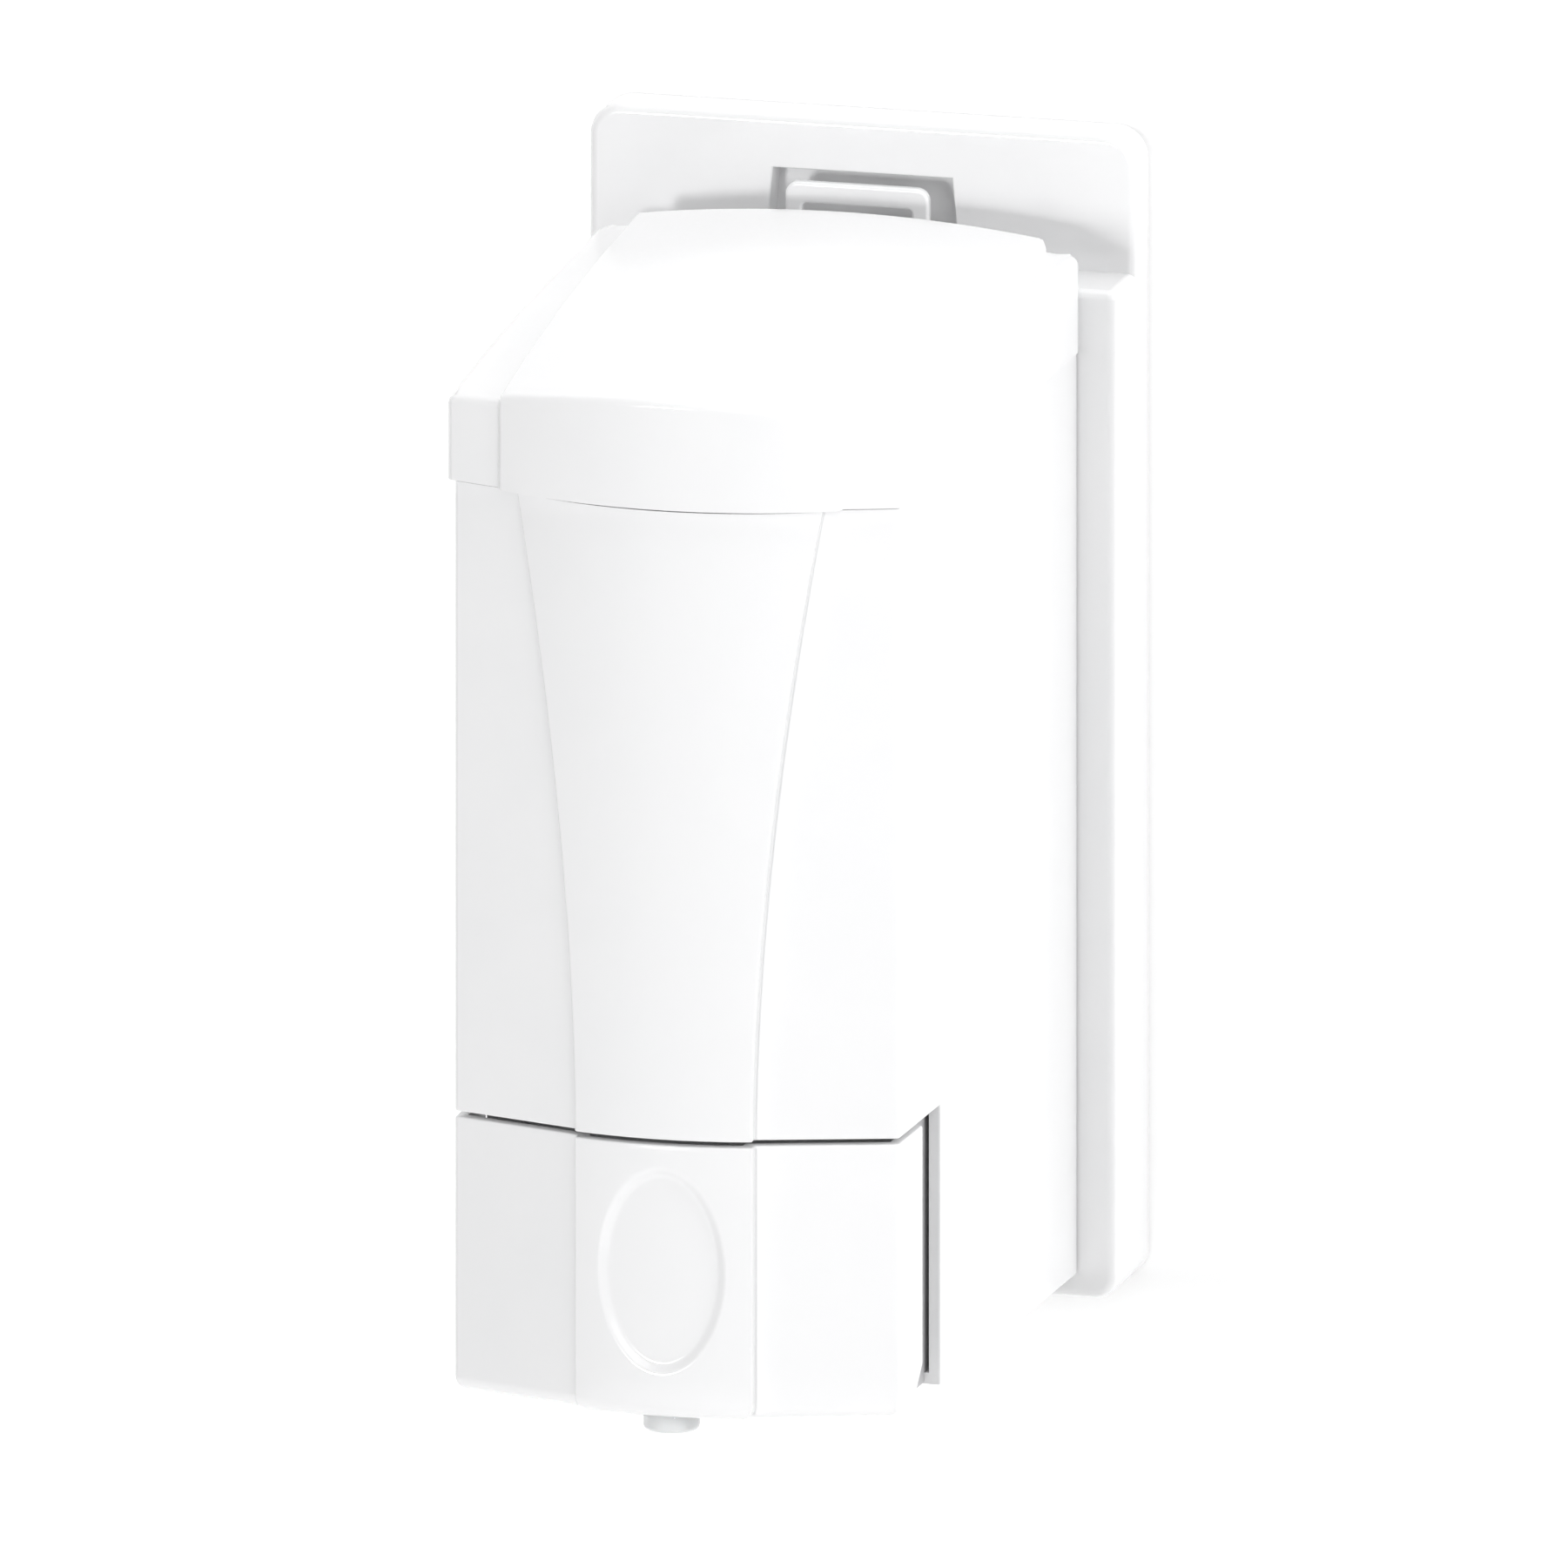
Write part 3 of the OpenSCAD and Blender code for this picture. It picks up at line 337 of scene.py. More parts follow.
    @staticmethod
    def merge(obj: Piece, tool: Piece, how: Merge) -> None:
        """Cuts one solid from another or adds it, and clears it away.

        Args:
            obj: The piece that stays.
            tool: The solid that cuts it or joins it.
            how: Which of the two.
        """
        modifier = obj.modifiers.new("merge", "BOOLEAN")
        modifier.operation = how.value
        modifier.solver = "EXACT"
        modifier.object = tool
        Bench.apply(obj, modifier)
        bpy.data.objects.remove(tool)

    @staticmethod
    def close(obj: Piece, others: Iterable[Piece]) -> Piece:
        """Joins open sheets and bridges their open rims into one closed shell.

        Args:
            obj: The outer sheet.
            others: The inner sheets.

        Returns:
            The closed shell.
        """
        Bench.hold(obj)
        for other in others:
            other.select_set(True)
        bpy.ops.object.join()
        Bench.grab_rim(obj)
        bpy.ops.mesh.bridge_edge_loops()
        Bench.face_out(obj)
        return obj

    @staticmethod
    def face_out(obj: Piece) -> None:
        """Merges doubles and turns all faces outwards."""
        Bench.hold(obj)
        bpy.ops.object.mode_set(mode="EDIT")
        bpy.ops.mesh.select_all(action="SELECT")
        bpy.ops.mesh.remove_doubles(threshold=1e-6)
        bpy.ops.mesh.normals_make_consistent(inside=False)
        bpy.ops.object.mode_set(mode="OBJECT")

    @staticmethod
    def shade(obj: Piece, angle: float = 32.0, weighted: bool = True) -> None:
        """Shades a piece smooth, with flat faces kept flat beside their roundings.

        Args:
            obj: The piece.
            angle: Edges sharper than this many degrees stay sharp.
            weighted: True where large faces lead the shading.
        """
        Bench.face_out(obj)
        bpy.ops.object.shade_smooth_by_angle(angle=math.radians(angle))
        if weighted:
            modifier = obj.modifiers.new("weights", "WEIGHTED_NORMAL")
            modifier.keep_sharp = True
            Bench.apply(obj, modifier)


class Graph:
    """A small helper that lays shader nodes in one tree."""

    def __init__(self, tree: bpy.types.NodeTree) -> None:
        """Keeps the tree that nodes are added to."""
        self.tree = tree

    def add(self, kind: str, **settings: object) -> bpy.types.Node:
        """Adds a node."""
        node = self.tree.nodes.new(kind)
        for name, value in settings.items():
            setattr(node, name, value)
        node.location = (180 * len(self.tree.nodes), 0)
        return node

    def link(self, source: Socket, target: Socket) -> None:
        """Joins two sockets."""
        self.tree.links.new(source, target)

    def noise(
        self, place: Socket, scale: float, detail: float = 2.0, rough: float = 0.5
    ) -> Socket:
        """Adds a noise texture.

        Args:
            place: Coordinates to read.
            scale: Cells in a metre.
            detail: Octaves.
            rough: Share of the fine octaves.

        Returns:
            Its value from 0 to 1.
        """
        node = self.add("ShaderNodeTexNoise")
        node.inputs["Scale"].default_value = scale
        node.inputs["Detail"].default_value = detail
        node.inputs["Roughness"].default_value = rough
        self.link(place, node.inputs["Vector"])
        return node.outputs["Fac"]

    def sum(
        self, first: Socket, second: Socket, share: float
    ) -> Socket:
        """Adds a share of the second value to the first."""
        node = self.add("ShaderNodeMath", operation="MULTIPLY_ADD")
        self.link(second, node.inputs[0])
        node.inputs[1].default_value = share
        self.link(first, node.inputs[2])
        return node.outputs[0]

    def span(
        self, value: Socket, low: float, high: float, out_low: float, out_high: float
    ) -> Socket:
        """Maps a value from one range to another and clamps it."""
        node = self.add("ShaderNodeMapRange", clamp=True)
        for name, number in zip(("From Min", "From Max", "To Min", "To Max"), (low, high, out_low, out_high)):
            node.inputs[name].default_value = number
        self.link(value, node.inputs["Value"])
        return node.outputs["Result"]

    def blend(
        self, mask: Socket, first: Sequence[float], second: Sequence[float]
    ) -> Socket:
        """Mixes two colours by a mask."""
        (one, other), mixed = self.mix(mask)
        one.default_value = (*first, 1.0)
        other.default_value = (*second, 1.0)
        return mixed

    def mix(
        self, mask: Socket
    ) -> tuple[list[Socket], Socket]:
        """Adds a mix of two colours, and gives its two inputs and its output."""
        node = self.add("ShaderNodeMix", data_type="RGBA")
        self.link(mask, node.inputs["Factor"])
        colours = [socket for socket in node.inputs if socket.type == "RGBA"]
        return colours, next(socket for socket in node.outputs if socket.type == "RGBA")

    def times(self, first: Socket, second: Socket) -> Socket:
        """Adds the product of two values."""
        node = self.add("ShaderNodeMath", operation="MULTIPLY")
        self.link(first, node.inputs[0])
        self.link(second, node.inputs[1])
        return node.outputs[0]


class Effects:
    """Shader node groups that several finishes share."""

    def __init__(self) -> None:
        """Builds each group once."""
        self.moulding = self._moulding()
        self.wear_and_highlight = self._wear_and_highlight()
        self.dust = self._dust()

    @staticmethod
    def _start(name: str, inputs: dict[str, str], outputs: Sequence[str]) -> tuple[Graph, dict, dict]:
        """Opens a new group.

        Args:
            name: Name of the group.
            inputs: Name of each input and its socket type.
            outputs: Name of each output, all values.

        Returns:
            The graph, the inputs' sockets and the outputs' sockets.
        """
        tree = bpy.data.node_groups.new(name, "ShaderNodeTree")
        for label, kind in inputs.items():
            tree.interface.new_socket(name=label, in_out="INPUT", socket_type=kind)
        for label in outputs:
            tree.interface.new_socket(name=label, in_out="OUTPUT", socket_type="NodeSocketFloat")
        graph = Graph(tree)
        entry = graph.add("NodeGroupInput")
        leave = graph.add("NodeGroupOutput")
        return graph, {s.name: s for s in entry.outputs}, {s.name: s for s in leave.inputs}

    def _moulding(self) -> bpy.types.NodeTree:
        """Skin of moulded plastic: a fine grain, slow waves left by the flow, and sparse specks."""
        graph, given, made = self._start(
            "moulding",
            {"Place": "NodeSocketVector", "Grain": "NodeSocketFloat", "Flow": "NodeSocketFloat"},
            ("Height", "Tone", "Specks"),
        )
        grain = graph.add("ShaderNodeTexNoise")
        flow = graph.add("ShaderNodeTexNoise")
        specks = graph.add("ShaderNodeTexVoronoi")
        grain.inputs["Detail"].default_value = 3.0
        flow.inputs["Detail"].default_value = 1.0
        flow.inputs["Distortion"].default_value = 0.4
        specks.inputs["Scale"].default_value = 260.0
        for node in (grain, flow, specks):
            graph.link(given["Place"], node.inputs["Vector"])
        graph.link(given["Grain"], grain.inputs["Scale"])
        graph.link(given["Flow"], flow.inputs["Scale"])
        graph.link(graph.sum(grain.outputs["Fac"], flow.outputs["Fac"], 2.5), made["Height"])
        graph.link(graph.span(flow.outputs["Fac"], 0.3, 0.7, 0.0, 1.0), made["Tone"])
        graph.link(graph.span(specks.outputs["Distance"], 0.0, 0.07, 1.0, 0.0), made["Specks"])
        return graph.tree

    def _wear_and_highlight(self) -> bpy.types.NodeTree:
        """Rubbed edges and a painted edge highlight, broken up by noise."""
        graph, given, made = self._start(
            "edge_wear_and_highlight", {"Place": "NodeSocketVector", "Amount": "NodeSocketFloat"}, ("Mask",)
        )
        shape = graph.add("ShaderNodeNewGeometry")
        soft = graph.add("ShaderNodeBevel", samples=4)
        soft.inputs["Radius"].default_value = 0.0007
        same = graph.add("ShaderNodeVectorMath", operation="DOT_PRODUCT")
        graph.link(shape.outputs["Normal"], same.inputs[0])
        graph.link(soft.outputs["Normal"], same.inputs[1])
        # Edges found from the bevel normal; the lighter colour they get is partly real wear and partly a
        # painted edge highlight.
        edges = graph.span(same.outputs["Value"], 0.995, 0.9, 0.0, 1.0)
        patches = graph.span(graph.noise(given["Place"], 420.0, 4.0), 0.42, 0.62, 0.0, 1.0)
        graph.link(graph.times(graph.times(edges, patches), given["Amount"]), made["Mask"])
        return graph.tree

    def _dust(self) -> bpy.types.NodeTree:
        """A thin film of dust on faces that look up."""
        graph, given, made = self._start(
            "dust", {"Place": "NodeSocketVector", "Amount": "NodeSocketFloat"}, ("Mask",)
        )
        shape = graph.add("ShaderNodeNewGeometry")
        parts = graph.add("ShaderNodeSeparateXYZ")
        graph.link(shape.outputs["Normal"], parts.inputs[0])
        up = graph.span(parts.outputs["Z"], 0.5, 0.98, 0.0, 1.0)
        motes = graph.span(graph.noise(given["Place"], 900.0, 5.0, 0.65), 0.45, 0.75, 0.0, 1.0)
        graph.link(graph.times(graph.times(up, motes), given["Amount"]), made["Mask"])
        return graph.tree


class Finish:
    """Base of all finishes: opens a material with its shader and its place on the piece."""

    slot: Slot

    def make(self, effects: Effects) -> bpy.types.Material:
        """Builds the material.

        Args:
            effects: The shared shader groups.

        Returns:
            The finished material.
        """
        material = bpy.data.materials.new(self.slot.value)
        material.use_nodes = True
        material.node_tree.nodes.clear()
        graph = Graph(material.node_tree)
        shader = graph.add("ShaderNodeBsdfPrincipled")
        result = graph.add("ShaderNodeOutputMaterial")
        graph.link(shader.outputs[0], result.inputs["Surface"])
        place = graph.add("ShaderNodeTexCoord").outputs["Object"]
        self.dress(graph, shader, place, effects)
        return material

    def dress(
        self, graph: Graph, shader: bpy.types.Node, place: Socket, effects: Effects
    ) -> None:
        """Wires the finish to its shader."""
        raise NotImplementedError

    @staticmethod
    def effect(
        graph: Graph, group: bpy.types.NodeTree, place: Socket, **values: float
    ) -> bpy.types.Node:
        """Places a shared group with its own values."""
        node = graph.add("ShaderNodeGroup", node_tree=group)
        graph.link(place, node.inputs["Place"])
        for name, value in values.items():
            node.inputs[name].default_value = value
        return node

    @staticmethod
    def relief(
        graph: Graph, shader: bpy.types.Node, height: Socket, strength: float, depth: float
    ) -> None:
        """Feeds a height to the shader's normal."""
        bump = graph.add("ShaderNodeBump")
        bump.inputs["Strength"].default_value = strength
        bump.inputs["Distance"].default_value = depth
        graph.link(height, bump.inputs["Height"])
        graph.link(bump.outputs["Normal"], shader.inputs["Normal"])


@dataclass(frozen=True)
class Plastic(Finish):
    """A moulded plastic with a fine skin, edges lightened partly as wear and partly as a painted highlight,
    and dust on top.
    """

    slot: Slot
    colour: tuple[float, float, float]
    shade: tuple[float, float, float]
    worn_and_lit: tuple[float, float, float]
    gloss: tuple[float, float]
    grain: float = 2600.0
    flow: float = 45.0
    relief_depth: float = 0.00002
    relief_strength: float = 0.12
    wear_and_highlight: float = 0.35
    dust: float = 0.2
    glow: float = 0.0
    glow_reach: float = 0.002
    clear: float = 0.0
    coat: float = 0.0

    def dress(
        self, graph: Graph, shader: bpy.types.Node, place: Socket, effects: Effects
    ) -> None:
        """Wires the plastic to its shader.

        Args:
            graph: The material's nodes.
            shader: Its Principled shader.
            place: Object coordinates.
            effects: The shared shader groups.
        """
        skin = self.effect(graph, effects.moulding, place, Grain=self.grain, Flow=self.flow)
        wear_and_highlight = self.effect(graph, effects.wear_and_highlight, place, Amount=self.wear_and_highlight)
        dust = self.effect(graph, effects.dust, place, Amount=self.dust)
        tone = graph.blend(skin.outputs["Tone"], self.colour, self.shade)
        # Edges mix toward the lighter third colour: partly wear, partly a painted edge highlight.
        (base, worn_and_lit), rubbed_and_lit = graph.mix(wear_and_highlight.outputs["Mask"])
        worn_and_lit.default_value = (*self.worn_and_lit, 1.0)
        graph.link(tone, base)
        graph.link(rubbed_and_lit, shader.inputs["Base Color"])
        rough = graph.span(skin.outputs["Tone"], 0.0, 1.0, *self.gloss)
        rough = graph.sum(rough, dust.outputs["Mask"], 0.25)
        rough = graph.sum(rough, wear_and_highlight.outputs["Mask"], 0.3)
        rough = graph.sum(rough, skin.outputs["Specks"], 0.12)
        graph.link(rough, shader.inputs["Roughness"])
        self.relief(graph, shader, skin.outputs["Height"], self.relief_strength, self.relief_depth)
        shader.inputs["IOR"].default_value = 1.49
        shader.inputs["Subsurface Weight"].default_value = self.glow
        shader.inputs["Subsurface Radius"].default_value = (1.0, 0.95, 0.9)
        shader.inputs["Subsurface Scale"].default_value = self.glow_reach
        shader.inputs["Transmission Weight"].default_value = self.clear
        shader.inputs["Coat Weight"].default_value = self.coat
        shader.inputs["Coat Roughness"].default_value = 0.05


@dataclass(frozen=True)
class Metal(Finish):
    """Bright drawn steel with fine lines along it and dull spots."""

    slot: Slot
    colour: tuple[float, float, float] = (0.62, 0.62, 0.63)
    dull: tuple[float, float, float] = (0.42, 0.42, 0.44)
    lines: float = 9000.0

    def dress(
        self, graph: Graph, shader: bpy.types.Node, place: Socket, effects: Effects
    ) -> None:
        """Wires the metal to its shader.

        Args:
            graph: The material's nodes.
            shader: Its Principled shader.
            place: Object coordinates.
            effects: The shared shader groups.
        """
        stretch = graph.add("ShaderNodeMapping")
        stretch.inputs["Scale"].default_value = (1.0, 0.04, 1.0)
        graph.link(place, stretch.inputs["Vector"])
        drawn = graph.noise(stretch.outputs[0], self.lines, 3.0)
        spots = graph.span(graph.noise(place, 160.0, 4.0), 0.45, 0.7, 0.0, 1.0)
        wear_and_highlight = self.effect(graph, effects.wear_and_highlight, place, Amount=0.6)
        graph.link(graph.blend(spots, self.colour, self.dull), shader.inputs["Base Color"])
        rough = graph.span(drawn, 0.3, 0.7, 0.22, 0.38)
        rough = graph.sum(rough, wear_and_highlight.outputs["Mask"], -0.1)
        graph.link(rough, shader.inputs["Roughness"])
        self.relief(graph, shader, drawn, 0.25, 0.00001)
        shader.inputs["Metallic"].default_value = 1.0


class Paintbox:
    """All finishes by slot, and the slot of each CAD node."""

    finishes: tuple[Finish, ...] = (
        # Each plastic's third colour is its lighter edge colour, partly wear and partly a painted edge
        # highlight.
        Plastic(
            Slot.WHITE_ABS, (0.88, 0.88, 0.885), (0.865, 0.867, 0.873), (0.92, 0.92, 0.92), (0.13, 0.2),
            grain=3200.0, coat=0.15,
        ),
        Plastic(
            Slot.NATURAL_PP, (0.8, 0.82, 0.81), (0.74, 0.77, 0.77), (0.86, 0.87, 0.86), (0.34, 0.44),
            grain=1800.0, relief_strength=0.25, glow=0.5, glow_reach=0.003,
        ),
        Plastic(
            Slot.GREY_ACETAL, (0.49, 0.49, 0.495), (0.45, 0.45, 0.46), (0.6, 0.6, 0.6), (0.36, 0.5),
            grain=2200.0, relief_strength=0.3, wear_and_highlight=0.5,
        ),
        Plastic(
            Slot.CLEAR_NOZZLE, (0.93, 0.945, 0.95), (0.9, 0.92, 0.93), (0.95, 0.96, 0.97), (0.16, 0.26),
            grain=1500.0, relief_strength=0.15, clear=0.3, glow=0.4, glow_reach=0.002, dust=0.0,
        ),
        Plastic(
            Slot.SEAL_RUBBER, (0.02, 0.02, 0.021), (0.032, 0.031, 0.03), (0.07, 0.07, 0.07), (0.6, 0.8),
            grain=1400.0, relief_depth=0.00005, relief_strength=0.5, wear_and_highlight=0.6,
        ),
        Metal(Slot.STEEL),
    )

    def __init__(self) -> None:
        """Builds every material once."""
        effects = Effects()
        self.materials = {finish.slot: finish.make(effects) for finish in self.finishes}
        self.slots = {part["node"]: Slot(part["material_slot"]) for part in frame["record"]["subparts"]}

    def dress(self, obj: Piece, slot: Slot) -> None:
        """Gives a piece its finish."""
        obj.data.materials.clear()
        obj.data.materials.append(self.materials[slot])

    def hand_over(self, obj: Piece, body: Body, *nodes: str) -> None:
        """Dresses a new piece, lets it ride on its body and hides the CAD nodes that it stands for.

        Args:
            obj: The piece, finished and in place.
            body: The moving group that it belongs to.
            *nodes: CAD nodes that it replaces.
        """
        slot = self.slots[nodes[0]]
        self.dress(obj, slot)
        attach(obj, body.value)
        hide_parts(*nodes)
        log.info("%s: %d faces, %s, rides on %s", obj.name, len(obj.data.polygons), slot.value, body.value)

    def dress_nodes(self) -> None:
        """Gives each CAD node that is still shown its finish."""
        for name, node in frame["nodes"].items():
            if not node.hide_render:
                self.dress(node, self.slots[name])
                log.info("%s: kept from the CAD model, %s", name, self.slots[name].value)


@dataclass
class CaseShape:
    """Shape that the housing, the push panel and the lid share, in millimetres."""

    front_half: float = 48.8
    flare: float = 2.8
    front_y: float = -162.0
    rear_y: float = measured("housing", 1, True)
    facet_slope: float = 0.315
    flat_half: float = 18.0
    arc_r: float = 77.4
    arc_y: float = measured("housing", 1, False)
    wall: float = 2.5
    foot_z: float = measured("housing", 2, False)
    parting_z: float = 66.5
    shoulder_z: float = 204.0
    shoulder_rise: float = 2.8
    panel_low: float = 19.5
    panel_top: float = 33.5
    panel_power: float = 1.8
    arc_steps: int = 28
    corner_steps: int = 4

    def side(self, y: float) -> float:
        """Half width at a distance from the wall."""
        return self.front_half + self.flare * (y - self.front_y) / (self.rear_y - self.front_y)

    def panel_half(self, z: float) -> float:
        """Half width of the centre panel at a height."""
        share = max(0.0, z - self.parting_z) / (self.shoulder_z - self.parting_z)
        return self.panel_low + (self.panel_top - self.panel_low) * min(1.0, share) ** self.panel_power

    def shoulder(self, y: float) -> float:
        """Height of the housing's sloping top edge."""
        return self.shoulder_z + self.shoulder_rise * (y - self.front_y) / (self.rear_y - self.front_y)

    def arc(self, x: float, inset: float) -> float:
        """Where the curved centre panel lies at a distance from the middle."""
        radius = self.arc_r - inset
        return self.arc_y + self.arc_r - math.sqrt(radius * radius - x * x)

    def outline(
        self,
        z: float,
        inset: float,
        rear_y: float,
        steps: int,
        radii: tuple[float, float, float] = (0.7, 0.5, 1.3),
    ) -> list[Point]:
        """Plan of the case at a height, from its left rear end round the front to its right rear end.

        Args:
            z: Height above the foot of the wall plate.
            inset: Distance inside the outer face.
            rear_y: Where the sides end.
            steps: Segments in half of the centre arc.
            radii: Radius of the panel's edge, of the groove beside it, and of the front corner.

        Returns:
            The points of the plan.
        """
        slant = math.sqrt(1 + self.facet_slope**2)
        half = self.front_half - inset
        corner_y = self.front_y + inset * (slant - self.facet_slope)
        panel = self.panel_half(z) - inset
        facet_y = corner_y - (half - panel) * self.facet_slope
        trim = [max(0.15, r - inset) if i != 1 else r for i, r in enumerate(radii)]
        arc = [(panel * i / steps, self.arc(panel * i / steps, inset)) for i in range(steps)]
        turns = rounded(
            [
                arc[-1],
                (panel, self.arc(panel, inset)),
                (panel, facet_y),
                (half, corner_y),
                (self.side(rear_y) - inset, rear_y),
            ],
            trim,
            self.corner_steps,
        )
        right = arc[:-1] + turns
        left = [(-x, y) for x, y in reversed(right[1:])]
        return left + right

    def plan(self, inset: float, rear_y: float, cut_y: float = UNCUT) -> list[Point]:
        """Plan of the case without its centre panel.

        Args:
            inset: Distance inside the outer face.
            rear_y: Where it ends at the rear.
            cut_y: Where it starts at the front.

        Returns:
            The corners of the plan.
        """
        slant = math.sqrt(1 + self.facet_slope**2)
        half = self.front_half - inset
        corner_y = self.front_y + inset * (slant - self.facet_slope)
        flat_y = self.front_y - (self.front_half - self.flat_half) * self.facet_slope + inset
        flat_x = self.flat_half - inset * (slant - 1) / self.facet_slope
        rear = self.side(rear_y) - inset
        if cut_y > corner_y:
            front = self.side(cut_y) - inset
            return [(-front, cut_y), (front, cut_y), (rear, rear_y), (-rear, rear_y)]
        right = [(flat_x, flat_y), (half, corner_y), (rear, rear_y)]
        return [(-x, y) for x, y in reversed(right)] + right

    def plan_prism(
        self, name: str, inset: float, low: float, high: float, rear_y: float, cut_y: float = UNCUT
    ) -> Piece:
        """A prism of that plan between two heights."""
        corners = [at(x, y, low) for x, y in self.plan(inset, rear_y, cut_y)]
        return Bench.prism(name, corners, Vector((0, 0, (high - low) * MM)))


@dataclass
class Housing:
    """The case body with its lip, soffit, floor, rails and screw bosses."""

    shape: CaseShape
    slot_y: float = -130.9
    shelf_z: float = 68.5
    lip_h: float = 10.0
    lip_step: float = 1.6
    rim_inset: float = 1.0
    edge: float = 0.45
    boss_x: float = 43.5
    boss_rows: tuple[float, float] = (30.0, 197.0)
    boss_r: float = 4.0
    boss_l: float = 24.0
    rail_x: float = 41.5
    rail_y: float = -114.6
    rail_h: float = 6.0
    back_t: float = 3.0
    screw_r: float = 1.25

    def _wall_sheet(self, name: str, inset: float) -> Piece:
        """One face of the case wall.

        Args:
            name: Name of the sheet.
            inset: Distance inside the outer face.

        Returns:
            The sheet.
        """
        shape = self.shape
        heights = [shape.foot_z, *spread(shape.parting_z - 20, shape.parting_z, 2)]
        heights += spread(shape.parting_z, shape.shoulder_z - 4, 30)[1:]
        rows = []
        for z in heights:
            rows.append([at(x, y, z) for x, y in shape.outline(z, inset, shape.rear_y, shape.arc_steps)])
        top = shape.outline(shape.shoulder_z, inset, shape.rear_y, shape.arc_steps)
        rows.append([at(x, y, shape.shoulder(y)) for x, y in top])
        return Bench.sheet(name, rows)

    def build(self) -> Piece:
        """Builds the housing.

        Returns:
            The finished piece.
        """
        shape = self.shape
        case = Bench.close(self._wall_sheet("case", 0.0), [self._wall_sheet("case_inner", shape.wall)])
        front = Bench.block("front", at(-70, -200, -5), at(70, self.slot_y, shape.parting_z))
        Bench.merge(case, front, Merge.CUT)
        for name, low, high, rear_y, cut_y in (
            ("soffit", shape.parting_z + 0.05, self.shelf_z, self.slot_y - 0.05, UNCUT),
            ("floor", shape.foot_z + 0.05, shape.foot_z + shape.wall, shape.rear_y - 3.2, self.slot_y + 0.05),
        ):
            plate = shape.plan_prism(name, self.rim_inset, low, high, rear_y, cut_y)
            Bench.merge(case, plate, Merge.ADD)
        lip_top = shape.shoulder_z + self.lip_h
        lip = shape.plan_prism("lip", self.lip_step, shape.shoulder_z - 6, lip_top, shape.rear_y - 4)
        core = shape.plan_prism(
            "lip_core", self.lip_step + shape.wall, shape.shoulder_z - 7, lip_top + 1, shape.rear_y - 3
        )
        Bench.merge(lip, core, Merge.CUT)
        Bench.merge(case, lip, Merge.ADD)
        rear_in = shape.rear_y - self.back_t
        for side in SIDES:
            inner = shape.side(-70) - 1.2
            low_x, high_x = flank(side, self.rail_x, inner)
            rail = Bench.block(
                "rail",
                at(low_x, self.rail_y, self.shelf_z - self.rail_h),
                at(high_x, rear_in - 5, self.shelf_z),
            )
            Bench.merge(case, rail, Merge.ADD)
            for z in self.boss_rows:
                x = side * self.boss_x
                boss = Bench.drum(
                    "boss", self.boss_r, at(x, rear_in - self.boss_l, z), at(x, rear_in, z), 32
                )
                reach = side * (shape.side(rear_in) - 1.5)
                low_x, high_x = sorted((x, reach))
                web = Bench.block("web", at(low_x, rear_in - self.boss_l, z - 2), at(high_x, rear_in, z + 2))
                Bench.merge(boss, web, Merge.ADD)
                start = at(x, rear_in - self.boss_l + 4, z)
                hole = Bench.drum("hole", self.screw_r, start, at(x, rear_in + 1, z), 24)
                Bench.merge(boss, hole, Merge.CUT)
                Bench.merge(case, boss, Merge.ADD)
        case.name = "housing_shell"
        self._round(case)
        Bench.shade(case)
        return case

    def _round(self, case: Piece) -> None:
        """Rounds the outer edges along the parting line and down the slots.

        Args:
            case: The housing.
        """
        shape = self.shape

        def outside(a: Vector, b: Vector) -> bool:
            """True for an edge on the outer face."""
            return all(
                abs(abs(p.x) - shape.side(p.y)) < 0.05 or (p.y < shape.front_y + 1.3) for p in (a, b)
            )

        def parting(a: Vector, b: Vector) -> bool:
            """True for the lower outer edge above the push panel."""
            flat = abs(a.z - shape.parting_z) < 0.02 and abs(b.z - shape.parting_z) < 0.02
            inner = any(p.y > shape.arc(0, 0) + 12 and p.y < shape.front_y - 1.4 for p in (a, b))
            return flat and outside(a, b) and not inner and self._on_skin(a) and self._on_skin(b)

        def slot(a: Vector, b: Vector) -> bool:
            """True for the outer edge behind a wing."""
            return (
                abs(a.y - self.slot_y) < 0.02
                and abs(b.y - self.slot_y) < 0.02
                and outside(a, b)
                and max(a.z, b.z) < shape.parting_z + 0.02
            )

        Bench.soften(case, lambda a, b: parting(a, b) or slot(a, b), self.edge, 3)

    def _on_skin(self, p: Vector) -> bool:
        """True where a point lies on the outer outline at the parting line."""
        shape = self.shape
        if abs(abs(p.x) - shape.side(p.y)) < 0.05:
            return True
        x = abs(p.x)
        facet = shape.front_y - (shape.front_half - x) * shape.facet_slope
        on_arc = x < shape.panel_low + 0.01 and abs(p.y - shape.arc(x, 0.0)) < 0.12
        return on_arc or (x > shape.panel_low - 0.6 and p.y < facet + 0.6)


